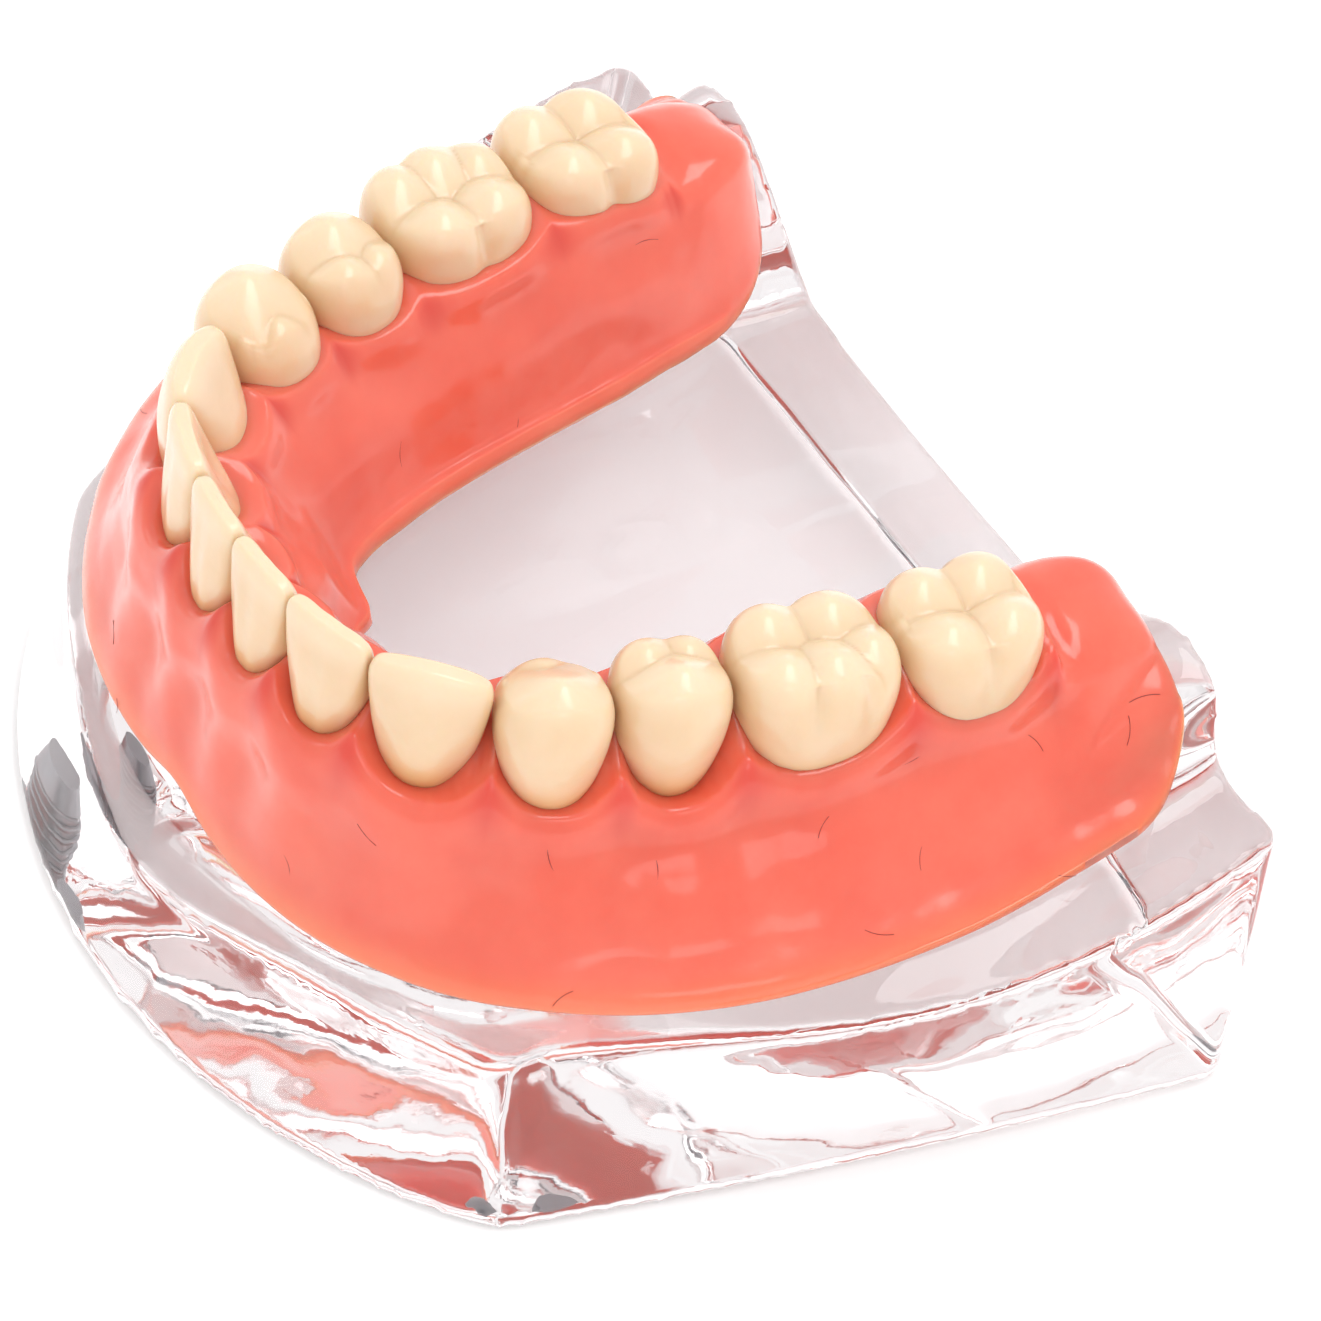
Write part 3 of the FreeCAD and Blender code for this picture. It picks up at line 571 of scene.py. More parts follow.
controls = np.array([
    [inner_left, low_left],
    [inner_left - 0.42, low_left + 0.22],
    [tongue, low_left + 0.75],
    [0.80 * tongue + 0.20 * tongue_neck - 0.10, low_left + 0.22 * (tongue_z - low_left)],
    [0.52 * tongue + 0.48 * tongue_neck, low_left + 0.56 * (tongue_z - low_left)],
    [0.16 * tongue + 0.84 * tongue_neck, tongue_z - 1.7],
    [tongue_u - 0.42 - 0.25 * tongue_rise, tongue_crest_z - 0.62],
    [tongue_u + 0.02, tongue_crest_z - 0.05],
    [tongue_u + 0.55, tongue_crest_z + 0.02],
    [tongue_u + 1.5, tongue_crest_z - 0.2 + 0.45 * behind + 0.4 * fill],
    [0.5 * (tongue_neck + cheek_neck), mid_z],
    [cheek_u - 1.5, cheek_crest_z - 0.2 + 0.55 * behind + 0.9 * fill],
    [cheek_u - 0.55, cheek_crest_z + 0.08],
    [cheek_u + 0.05, cheek_crest_z - 0.03],
    [cheek_u + 0.46 + 0.2 * cheek_rise, cheek_crest_z - 0.66],
    [cheek_neck + 0.85 + 0.55 * root_swell, cheek_z - 2.1],
    [cheek_neck + 0.34 * (border - cheek_neck) + 0.75 * root_swell,
     border_z + 0.60 * (cheek_z - border_z)],
    [cheek_neck + 0.66 * (border - cheek_neck) + 0.35 * root_swell,
     border_z + 0.30 * (cheek_z - border_z)],
    [border - 0.05, border_z + 1.05],
    [border + 0.02, border_z + 0.45],
    [border - 0.32, border_z + 0.03],
    [inner_right, low_right],
]).transpose(0, 2, 1)

# Behind the last tooth the two margins give way to one smooth dome over the pad.
FIRST_DOME, LAST_DOME = 4, 15
DOME_FOOT, DOME_RISE, DOME_HALF_WIDTH, DOME_BLUNT = 26.2, 4.1, 5.3, 0.75
for k in range(FIRST_DOME, LAST_DOME + 1):
    turn = math.pi * (1 - (k - FIRST_DOME + 1) / (LAST_DOME - FIRST_DOME + 2))
    dome_u = 0.5 * (tongue_neck + cheek_neck) + DOME_HALF_WIDTH * math.cos(turn)
    dome_z = DOME_FOOT + DOME_RISE * math.sin(turn) ** DOME_BLUNT
    controls[k, :, 0] += behind * (dome_u - controls[k, :, 0])
    controls[k, :, 1] += behind * (dome_z - controls[k, :, 1])
OUTER_COUNTS = [3, 3, 5, 6, 7, 6, 5, 4, 4, 5, 5, 4, 4, 5, 7, 9, 9, 9, 4, 4, 4]
outer = hermite(controls, OUTER_COUNTS)
LIPS = (sum(OUTER_COUNTS[:2]), sum(OUTER_COUNTS[:-2]))  # rows of the outside, less the two lips
INNER_POINTS = 30
share = 0.5 - 0.5 * np.cos(np.linspace(0, math.pi, INNER_POINTS))[1:-1]
inner_u = inner_right[None] + share[:, None] * (inner_left - inner_right)[None]
inner = np.stack([inner_u, hollow_height(line, inner_u)], axis=-1)
section = np.concatenate([outer, inner])

# The ends close: the sections get narrower, on the tongue side first, and sink to the hollow.
TONGUE_ROUND, TONGUE_BLUNT = 10.5, 2.3
CHEEK_END, TONGUE_END = 0.62, 0.22  # shares of the width that are left at the very end
middle = 0.5 * (inner_left + inner_right)
cheek_narrow = CHEEK_END + (1 - CHEEK_END) * closing
tongue_run = np.clip(np.abs(stations) - (END_STATION - TONGUE_ROUND), 0, None) / TONGUE_ROUND
tongue_narrow = TONGUE_END + (1 - TONGUE_END) * np.sqrt(
    np.clip(1 - tongue_run ** TONGUE_BLUNT, 0, 1))
off_middle = section[..., 0] - middle[None]
reach = middle[None] + off_middle * np.where(off_middle < 0, tongue_narrow, cheek_narrow)
was_low = hollow_height(line, np.clip(section[..., 0], inner_left[None], inner_right[None]))
now_low = hollow_height(line, np.clip(reach, (middle + (inner_left - middle) * tongue_narrow)[None],
                                      (middle + (inner_right - middle) * cheek_narrow)[None]))
height = now_low + (section[..., 1] - was_low) * closing[None] ** 0.7
points = place(np.broadcast_to(stations, reach.shape), reach, height)

# Nothing may sink into the jaw: each point is kept above the jaw's own surface.
jaw_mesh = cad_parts["jaw_base"].data
jaw_tree = BVHTree.FromPolygons([v.co for v in jaw_mesh.vertices],
                                [tuple(p.vertices) for p in jaw_mesh.polygons])
SKY, SKIN = 60.0, 1.35
DOWN = Vector((0, 0, -1))
raised = 0
for j in range(points.shape[0]):
    for i in range(points.shape[1]):
        x, y, z = points[j, i]
        hit = jaw_tree.ray_cast(Vector((x, y, SKY)) * MM, DOWN)[0]
        if hit is None:
            continue
        least = hit.z / MM + FIT_GAP + (SKIN * closing[i] if LIPS[0] < j < LIPS[1] else 0.0)
        if z < least:
            points[j, i, 2] = least
            raised += 1
print("gum: %d sections of %d points, %d raised" % (len(stations), len(section), raised))

# %% [markdown]
# Values painted on the points steer the colour: *blush* is deeper red between the teeth,
# *rim* is the thick border, which looks more orange, and *outside* is where dust-fine fibres
# may show. The last step is a slow noise along the normals, because nothing moulded by hand
# is even.

# %% Gum mesh
ends = np.cumsum([0] + OUTER_COUNTS)
row = np.arange(len(section))
CHEEK_CREST, TONGUE_CREST, BORDER = 14, 6, 19  # places of these controls in a section


def near_row(centre, spread):
    """1 at a row of a section, falling away to both sides."""
    return np.exp(-((row - centre) / spread) ** 2)[:, None]


near_cheek, near_tongue = near_row(ends[CHEEK_CREST], 7.0), near_row(ends[TONGUE_CREST], 6.0)
blush = near_cheek * cheek_rise[None] + near_tongue * tongue_rise[None]
rim = np.broadcast_to(near_row(ends[BORDER], 8.0) + near_row(3, 4.0), blush.shape)
is_outside = ((row > ends[1]) & (row < ends[BORDER])).astype(float)
outside = np.broadcast_to(is_outside[:, None], blush.shape)
rings = points.transpose(1, 0, 2)
faces = loop_faces(len(stations), len(section))
last = (len(stations) - 1) * len(section)
faces += [tuple(range(len(section))), tuple(last + j for j in reversed(range(len(section))))]
gum = finished("denture_acrylic", rings.reshape(-1, 3), faces, values={
    "blush": blush.T.ravel(), "rim": rim.T.ravel(), "outside": outside.T.ravel()})
HAND_WAVE, BROAD_WAVE, SMALL_WAVE = 0.10, 210.0, 520.0
PAD_ROUNDS = 14
PAD_START = float(np.interp(ROW_END + 3.0, ARCH_S, ARCH_Y))
bm = bmesh.new()
bm.from_mesh(gum.data)
outside_layer = bm.verts.layers.float["outside"]
# The pads behind the teeth are evened, as a thumb evens wax.
pads = [v for v in bm.verts if v.co.y > PAD_START * MM and v[outside_layer] > 0.5]
even_out(bm, pads, PAD_ROUNDS)
bm.normal_update()
for v in bm.verts:
    if v[outside_layer] > 0.5:
        wave = (noise.noise(v.co * BROAD_WAVE, noise_basis="PERLIN_NEW")
                + 0.5 * noise.noise(v.co * SMALL_WAVE, noise_basis="PERLIN_NEW"))
        v.co += v.normal * (HAND_WAVE * MM * wave)
bm.to_mesh(gum.data)
bm.free()
gum.data.polygons.foreach_set("use_smooth", [True] * len(gum.data.polygons))
report(gum)

# %% [markdown]
# ## Pink acrylic
# Denture acrylic is glossy and lets a little light in before it scatters back, which is
# subsurface scattering. The colour is never even: it is redder in the points between teeth,
# warmer and thinner at the border, and mottled everywhere. The clear coat gives the hard wet
# highlight on top.

# %% Pink acrylic material
pink, tree, shader = finish_material(
    "pink_acrylic", Roughness=0.2, IOR=1.49, Coat_Weight=0.4, Coat_Roughness=0.09,
    Subsurface_Weight=0.75, Subsurface_Radius=(1.0, 0.30, 0.22), Subsurface_Scale=0.0028)
mottle = use_group(tree, patches, Scale=190.0, Detail=4.0, Contrast=1.8)
cloudy = use_group(tree, patches, Scale=60.0, Detail=2.0, Contrast=1.5)
blush_in = node(tree, "ShaderNodeAttribute", attribute_name="blush")
rim_in = node(tree, "ShaderNodeAttribute", attribute_name="rim")
body = mix_colour(tree, mottle.outputs["Mask"], (0.78, 0.108, 0.062, 1), (0.87, 0.165, 0.100, 1))
body = mix_colour(tree, ramp_value(tree, cloudy.outputs["Mask"], 0.3, 0.9, 0.0, 0.5), body,
                  (0.90, 0.21, 0.145, 1))
body = mix_colour(tree, ramp_value(tree, rim_in.outputs["Fac"], 0.1, 1.0, 0.0, 0.6), body,
                  (0.90, 0.235, 0.085, 1))
body = mix_colour(tree, ramp_value(tree, blush_in.outputs["Fac"], 0.15, 1.0, 0.0, 0.75), body,
                  (0.66, 0.045, 0.028, 1))
tree.links.new(body, shader.inputs["Base Color"])
ripple = use_group(tree, waves, Broad_Scale=330.0, Fine_Scale=1800.0, Fine_Share=0.10)
bump(tree, shader, ripple.outputs["Height"], 0.30, 0.0003)
gum.data.materials.clear()
gum.data.materials.append(pink)
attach(gum, "denture")
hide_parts("denture_base")
print("pink acrylic on", gum.name)

# %% [markdown]
# ## The teeth
# Each crown starts as a stack of rounded outlines from the neck to the widest place and in
# again to the biting rim. Inside the rim, a height map makes the chewing surface: every cusp
# is a blunt cone, the highest cone wins, and where two cones meet there is a fissure, as on
# a real molar. Incisors get a thin edge and a hollow back. We bend the whole tooth along the
# arch, so neighbours meet exactly at their contacts.

# %% Crown outlines and cusps
# level, shift outwards, share of the width, half depth
OUTLINES = {
    "incisor": [(0, -2.15, 0.74, 2.25), (0.15, -2.0, 0.80, 2.5), (0.3, -1.8, 0.87, 2.45),
                (0.5, -1.4, 0.94, 2.05), (0.7, -0.95, 0.98, 1.5), (0.85, -0.62, 1.0, 1.05),
                (0.94, -0.42, 1.0, 0.82), (0.98, -0.40, 0.98, 0.66), (1.0, -0.38, 0.94, 0.42)],
    "canine": [(0, -2.1, 0.73, 2.5), (0.15, -2.0, 0.79, 2.8), (0.3, -1.8, 0.87, 2.8),
               (0.5, -1.4, 0.94, 2.5), (0.7, -0.95, 0.98, 1.95), (0.85, -0.6, 1.0, 1.4),
               (0.94, -0.42, 0.99, 1.05), (0.98, -0.40, 0.96, 0.82), (1.0, -0.38, 0.90, 0.52)],
    "premolar": [(0, -0.8, 0.69, 2.7), (0.15, -0.85, 0.76, 3.1), (0.3, -0.9, 0.86, 3.5),
                 (0.5, -0.9, 0.94, 3.8), (0.65, -0.88, 0.98, 3.85), (0.8, -0.82, 1.0, 3.65),
                 (0.92, -0.72, 0.97, 3.2), (1.0, -0.66, 0.88, 2.7)],
    "molar": [(0, -0.45, 0.80, 3.7), (0.13, -0.47, 0.86, 4.05), (0.3, -0.5, 0.92, 4.4),
              (0.55, -0.5, 0.96, 4.6), (0.72, -0.48, 1.0, 4.55), (0.87, -0.46, 0.98, 4.3),
              (0.95, -0.45, 0.94, 3.95), (1.0, -0.44, 0.89, 3.6)],
}
# along and across, as shares of the half width and half depth, and height below the top, mm
CUSPS = {
    "first_premolar": [(0.0, 0.40, 0.05), (-0.1, -0.62, 1.45)],
    "second_premolar": [(0.0, 0.45, 0.10), (-0.38, -0.58, 0.75), (0.45, -0.58, 1.05)],
    "first_molar": [(-0.58, 0.52, 0.20), (0.08, 0.58, 0.25), (0.68, 0.34, 0.60),
                    (-0.50, -0.58, 0.30), (0.42, -0.58, 0.40)],
    "second_molar": [(-0.50, 0.55, 0.45), (0.48, 0.55, 0.60), (-0.48, -0.56, 0.50),
                     (0.46, -0.56, 0.65)],
}
# places along the tooth of the furrows that run down its cheek side and tongue side
FURROWS = {"first_molar": ([-0.26, 0.42], [-0.05]), "second_molar": ([0.0], [0.0])}
KINDS = {"central_incisor": "incisor", "lateral_incisor": "incisor", "canine": "canine",
         "first_premolar": "premolar", "second_premolar": "premolar",
         "first_molar": "molar", "second_molar": "molar"}
SQUARENESS = {"incisor": (2.1, 4.5), "canine": (2.1, 3.4), "premolar": (2.2, 2.7),
              "molar": (2.5, 3.2)}  # outline power at the neck and at the top
TOP = 34.6
ROOT = 24.55
CONTACT_GAP = 0.04
CUSP_SLOPE = 0.68
GLAZE_ROUNDS = 3
CUSP_TIP = 0.62
SIDE_RINGS = 30
FURROW_WIDTH, FURROW_DEPTH = 0.11, 0.50
RIDGE_DROP = {"premolar": 1.9, "molar": 1.65}


def chewing_height(name, kind, m, b, half_m, half_b):
    """Depth below the top, and how near a fissure is, at shares m and b of the tooth."""
    if kind == "incisor":
        corner = 0.28 * np.clip(m, 0, 1) ** 3 + 0.12 * np.clip(-m, 0, 1) ** 4
        return 0.12 + corner - 0.035 * np.cos(3 * math.pi * m), np.zeros(m.shape)
    if kind == "canine":
        slope = np.where(m > -0.05, 0.75, 0.55)
        return 0.05 + slope * np.abs(m + 0.05) ** 1.7, np.zeros(m.shape)
    heights = []
    for along_m, across, drop in CUSPS[name]:
        far = np.hypot((m - along_m) * half_m, (b - across) * half_b)
        heights.append(-drop - CUSP_SLOPE * (np.sqrt(far ** 2 + CUSP_TIP ** 2) - CUSP_TIP))
    for end in (-0.93, 0.93):
        over = np.clip(np.abs(b) - 0.45, 0, None)
        far = np.hypot((m - end) * half_m, over * half_b)
        heights.append(-RIDGE_DROP[kind] - 0.75 * far)
    stack = np.sort(np.array(heights), axis=0)
    best, second = stack[-1], stack[-2]
    fissure = np.exp(-(best - second) / 0.22)
    soft = 0.14
    blended = best + soft * np.log1p(np.exp((second - best) / soft)) - soft * math.log(2)
    return -(blended - 0.16 * fissure), fissure


def arch_place(station, reach, height):
    """Points set off along the arch's own normal, for the left side, mm."""
    x = np.interp(station, ARCH_S, ARCH_X)
    slope = (arch_y(x + 0.01) - arch_y(np.abs(x - 0.01))) / 0.02
    slope = np.where(x < 0.02, 0.0, slope)
    length = np.hypot(1, slope)
    reach = reach + smooth_table(SET_OUT, station)
    extra = np.clip(station, None, 0)
    return np.stack([x + extra + slope / length * reach, arch_y(x) - reach / length, height], -1)


def crown(side, sign, name, width, middle):
    """One closed tooth, as an object."""
    kind = KINDS[name]
    around = 96 if kind == "molar" else 72
    top_rings = 24 if kind in RIDGE_DROP else 9
    turn = np.linspace(0, 2 * math.pi, around, endpoint=False)
    half_m = width / 2 - CONTACT_GAP
    rows = np.array(OUTLINES[kind], float)
    levels = np.linspace(0, 1, SIDE_RINGS) ** 0.9
    shape = [np.interp(levels, rows[:, 0], rows[:, k]) for k in (1, 2, 3)]
    for _ in range(2):  # round the corners of the straight-line outline
        shape = [np.concatenate([s[:1], (s[:-2] + 2 * s[1:-1] + s[2:]) / 4, s[-1:]]) for s in shape]
    low_power, high_power = SQUARENESS[kind]

    def outline(power):
        """A rounded square of half size 1, squarer for a higher power."""
        size = (np.abs(np.cos(turn)) ** power + np.abs(np.sin(turn)) ** power) ** (-1 / power)
        return size * np.cos(turn), size * np.sin(turn)


    verts, neck, fissure_shade, contact = [], [], [], []
    top_shift, top_share, top_half = (s[-1] for s in shape)

    def chew(m_mm, b_mm):
        return chewing_height(name, kind, m_mm / (half_m * top_share),
                              (b_mm - top_shift) / top_half, half_m * top_share, top_half)

    unit_m, unit_b = outline(high_power)
    rim_m, rim_b = half_m * top_share * unit_m, top_shift + top_half * unit_b
    rim_drop, rim_fissure = chew(rim_m, rim_b)
    for level, shift, wide, deep in zip(levels, *shape):
        unit_m, unit_b = outline(low_power + (high_power - low_power) * level ** 2)
        m = half_m * wide * unit_m
        b = shift + deep * unit_b
        cheek = np.clip(unit_b, 0, 1)
        lingual = np.clip(-unit_b, 0, 1)
        swell = np.sin(math.pi * np.clip(level, 0, 1))
        if kind in ("incisor", "canine"):
            fossa = np.exp(-((level - 0.72) / 0.2) ** 2) * np.exp(-(unit_m / 0.55) ** 2)
            b = b + (0.42 if kind == "incisor" else 0.2) * fossa * lingual
            b = b - 0.05 * cheek * swell * np.cos(unit_m * 3.2 * math.pi)
        if kind == "canine":
            b = b + 0.28 * cheek * np.exp(-((unit_m - 0.05) / 0.38) ** 2) * swell
        if kind == "premolar":
            b = b + 0.22 * cheek * np.exp(-(unit_m / 0.42) ** 2) * swell
        for places, strength in zip(FURROWS.get(name, ([], [])), (cheek, -lingual)):
            for spot in places:
                cut = np.exp(-((unit_m - spot) / FURROW_WIDTH) ** 2)
                fade = np.clip((level - 0.35) / 0.5, 0, 1) ** 1.3
                b = b - FURROW_DEPTH * cut * strength * fade
        z = ROOT + level * (TOP - rim_drop - ROOT)
        verts.append(arch_place(middle + m, b, z))
        low = np.clip(1 - (level - 0.10 - 0.12 * lingual) / 0.38, 0, 1)
        neck.append(low)
        # The fissure and contact values below steer painted shade in the tooth resin.
        fissure_shade.append(rim_fissure * np.clip((level - 0.8) / 0.2, 0, 1))
        contact.append(np.clip(np.abs(unit_m) - 0.72, 0, 1) * 3.5 * swell)
    for r in np.linspace(1, 0, top_rings + 1)[1:-1]:
        m, b = rim_m * r, top_shift + (rim_b - top_shift) * r
        drop, fissure = chew(m, b)
        verts.append(arch_place(middle + m, b, TOP - drop))
        neck.append(np.zeros(around))
        fissure_shade.append(fissure)
        contact.append(np.zeros(around))
    rings = len(verts)
    m, b = np.zeros(1), np.full(1, top_shift)
    drop, fissure = chew(m, b)
    verts = np.concatenate(verts + [arch_place(middle + m, b, TOP - drop)])
    verts[:, 0] *= sign
    faces = loop_faces(rings, around)
    faces += [((rings - 1) * around + j, (rings - 1) * around + (j + 1) % around, rings * around)
              for j in range(around)]
    faces.append(tuple(reversed(range(around))))
    values = {"neck": np.append(np.concatenate(neck), 0.0),
              "fissure_shade": np.append(np.concatenate(fissure_shade), fissure[0]),
              "contact": np.append(np.concatenate(contact), 0.0)}
    piece = finished("tooth_%s_%s" % (side, name), verts, faces, values=values)
    bm = bmesh.new()
    bm.from_mesh(piece.data)
    even_out(bm, bm.verts, GLAZE_ROUNDS)
    bm.to_mesh(piece.data)
    bm.free()
    return piece


teeth = []
start = 0.0
for name, width in TEETH:
    for side, sign in (("left", 1), ("right", -1)):
        tooth = crown(side, sign, name, width, start + width / 2)
        teeth.append((tooth, "%s_%s" % (side, name)))
    start += width
    report(tooth)

# %% [markdown]
# ## Tooth resin
# Denture teeth are layered resin: yellow-orange at the neck, cream in the body and a cooler,
# paler edge. A darker orange in the fissures and between the teeth is painted shade, standing
# in for the shade that falls in those creases and gaps. The crown code painted those places
# on the points, so the colours sit right on every tooth.

# %% Tooth resin material
resin, tree, shader = finish_material(
    "tooth_resin", Roughness=0.24, IOR=1.5, Coat_Weight=0.35, Coat_Roughness=0.08,
    Subsurface_Weight=0.45, Subsurface_Radius=(1.0, 0.5, 0.3), Subsurface_Scale=0.0014)
neck_in = node(tree, "ShaderNodeAttribute", attribute_name="neck")
fissure_shade_in = node(tree, "ShaderNodeAttribute", attribute_name="fissure_shade")
contact_shade_in = node(tree, "ShaderNodeAttribute", attribute_name="contact")
cloudy = use_group(tree, patches, Scale=260.0, Detail=3.0, Contrast=1.6)
place_in = node(tree, "ShaderNodeTexCoord")
split = node(tree, "ShaderNodeSeparateXYZ", {0: place_in.outputs["Object"]})
body = mix_colour(tree, cloudy.outputs["Mask"], (0.77, 0.54, 0.32, 1), (0.84, 0.63, 0.42, 1))
edge = ramp_value(tree, split.outputs["Z"], 0.0318, 0.0346, 0.0, 0.55)
body = mix_colour(tree, edge, body, (0.89, 0.78, 0.58, 1))
body = mix_colour(tree, ramp_value(tree, neck_in.outputs["Fac"], 0.0, 1.0, 0.0, 0.85), body,
                  (0.72, 0.42, 0.17, 1))
# Painted shade: a darker orange where neighbouring teeth meet, for the shade in the gaps between
# them.
body = mix_colour(tree, ramp_value(tree, contact_shade_in.outputs["Fac"], 0.0, 1.0, 0.0, 0.45), body,
                  (0.70, 0.42, 0.19, 1))
# Painted shade: a darker orange down the fissures of the chewing surface, for the shade in those
# creases.
body = mix_colour(tree, ramp_value(tree, fissure_shade_in.outputs["Fac"], 0.2, 1.0, 0.0, 0.34), body,
                  (0.62, 0.38, 0.17, 1))
tree.links.new(body, shader.inputs["Base Color"])
glaze = use_group(tree, waves, Broad_Scale=500.0, Fine_Scale=3000.0, Fine_Share=0.25)
bump(tree, shader, glaze.outputs["Height"], 0.25, 0.00015)
for tooth, node_name in teeth:
    tooth.data.materials.clear()
    tooth.data.materials.append(resin)
    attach(tooth, "denture")
    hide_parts(node_name)
print("tooth resin on", len(teeth), "teeth")

# %% [markdown]
# ## Implant threads
# A thread is a helix with a small ridge along it: the plainest job there is for Geometry
# Nodes. A spiral curve is swept with a little four-sided ridge, and the result is placed at
# each implant. The tree's inputs are the sizes a maker would ask for.

# %% Geometry Nodes helpers
def geometry_tree(name, inputs):
    """An empty Geometry Nodes tree with named inputs (name, type, value)."""
    tree = bpy.data.node_groups.new(name, "GeometryNodeTree")
    tree.interface.new_socket("Geometry", in_out="INPUT", socket_type="NodeSocketGeometry")
    for label, kind, value in inputs:
        socket = tree.interface.new_socket(label, in_out="INPUT", socket_type=kind)
        if value is not None:
            socket.default_value = value
    tree.interface.new_socket("Geometry", in_out="OUTPUT", socket_type="NodeSocketGeometry")
    return tree, tree.nodes.new("NodeGroupInput"), tree.nodes.new("NodeGroupOutput")


def grown(piece, tree, **values):
    """Run a tree on a piece with its inputs set by name, and keep the result as plain mesh."""
    modifier = piece.modifiers.new(tree.name, "NODES")
    modifier.node_group = tree
    for item in tree.interface.items_tree:
        label = item.name.replace(" ", "_")
        if item.in_out == "INPUT" and label in values:
            modifier[item.identifier] = values[label]
    return bake_modifiers(piece)


INTEGER, MATERIAL = "NodeSocketInt", "NodeSocketMaterial"

thread, t_in, t_out = geometry_tree("implant_thread", [
    ("Radius", FLOAT, 0.0019), ("Ridge", FLOAT, 0.0002), ("Length", FLOAT, 0.008),
    ("Turns", FLOAT, 9.0), ("Points per Turn", INTEGER, 40), ("Material", MATERIAL, None)])
helix = node(thread, "GeometryNodeCurveSpiral", {
    "Resolution": t_in.outputs["Points per Turn"], "Rotations": t_in.outputs["Turns"],
    "Start Radius": t_in.outputs["Radius"], "End Radius": t_in.outputs["Radius"],
    "Height": t_in.outputs["Length"]})
ridge = node(thread, "GeometryNodeCurvePrimitiveCircle", {"Resolution": 4,
                                                         "Radius": t_in.outputs["Ridge"]})
swept = node(thread, "GeometryNodeCurveToMesh", {"Curve": helix.outputs["Curve"],
                                                "Profile Curve": ridge.outputs["Curve"],
                                                "Fill Caps": True})
set_out = node(thread, "GeometryNodeInstanceOnPoints", {"Points": t_in.outputs["Geometry"],
                                                       "Instance": swept.outputs["Mesh"]})
solid = node(thread, "GeometryNodeRealizeInstances", {"Geometry": set_out.outputs["Instances"]})
painted = node(thread, "GeometryNodeSetMaterial", {"Geometry": solid.outputs["Geometry"],
                                                  "Material": t_in.outputs["Material"]})
thread.links.new(painted.outputs["Geometry"], t_out.inputs["Geometry"])
print("tree", thread.name, "with", len(thread.nodes), "nodes")

# %% [markdown]
# ## Metal and rubber
# Titanium implants are matt and faintly streaked by turning, the gold-coloured abutments and
# steel caps are polished, and the rings are dull rubber. One small function makes each of
# them from the shared groups with its own values.

# %% Metal and rubber materials
def fitting_material(name, dark, light, metal, low_rough, high_rough, wave):
    """A turned or moulded small part: two tones, a drifting roughness and fine tool marks."""
    material, tree, shader = finish_material(name, Metallic=metal, IOR=1.5)
    tone = use_group(tree, patches, Scale=700.0, Detail=3.0, Contrast=1.6)
    tree.links.new(mix_colour(tree, tone.outputs["Mask"], dark, light), shader.inputs["Base Color"])
    rough = ramp_value(tree, tone.outputs["Mask"], 0.1, 0.9, low_rough, high_rough)
    tree.links.new(rough, shader.inputs["Roughness"])
    marks = use_group(tree, waves, Broad_Scale=1400.0, Fine_Scale=6000.0, Fine_Share=0.4)
    bump(tree, shader, marks.outputs["Height"], wave, 0.00005)
    return material


titanium = fitting_material("implant_titanium", (0.30, 0.30, 0.32, 1), (0.46, 0.46, 0.48, 1), 1.0,
                            0.32, 0.48, 0.4)
gold = fitting_material("abutment_gold", (0.66, 0.46, 0.17, 1), (0.80, 0.60, 0.28, 1), 1.0,
                        0.12, 0.24, 0.2)
steel = fitting_material("cap_steel", (0.55, 0.56, 0.58, 1), (0.72, 0.73, 0.75, 1), 1.0,
                         0.10, 0.22, 0.2)
rubber = fitting_material("ring_rubber", (0.018, 0.017, 0.017, 1), (0.05, 0.047, 0.045, 1), 0.0,
                          0.5, 0.7, 0.5)
FITTINGS = {"implant": titanium, "abutment": gold, "cap": steel, "ring": rubber}
for family, material in FITTINGS.items():
    for place_name in IMPLANTS:
        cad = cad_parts["%s_%s" % (family, place_name)]
        cad.data.materials.clear()
        cad.data.materials.append(material)

THREAD_FOOT, THREAD_HEAD = 2.1, 1.2
THREAD_TURNS = 8.5
feet = []
for place_name in IMPLANTS:
    low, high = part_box("implant_" + place_name)
    feet.append(((low.x + high.x) / 2 / MM, (low.y + high.y) / 2 / MM, low.z / MM + THREAD_FOOT))
    thread_length = (high.z - low.z) / MM - THREAD_FOOT - THREAD_HEAD
    implant_radius = (high.x - low.x) / 2 / MM
threads = finished("implant_threads", feet, [])
threads = grown(threads, thread, Radius=implant_radius * MM, Ridge=0.22 * MM,
                Length=thread_length * MM, Turns=THREAD_TURNS, Points_per_Turn=40,
                Material=titanium)
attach(threads, "base")
report(threads)

# %% [markdown]
# ## Fibres in the gum
# Real denture acrylic has short dyed fibres in it that imitate small blood vessels. We
# scatter bent hairs over the outside of the gum with a fixed seed, each turned at random in
# the plane of the surface and sunk halfway into it.

# %% Fibres
vessel, tree, shader = finish_material("gum_fibre", Roughness=0.5)
tone = use_group(tree, patches, Scale=900.0, Detail=2.0, Contrast=2.0)
reds = mix_colour(tree, tone.outputs["Mask"], (0.16, 0.012, 0.01, 1), (0.36, 0.03, 0.02, 1))
tree.links.new(reds, shader.inputs["Base Color"])

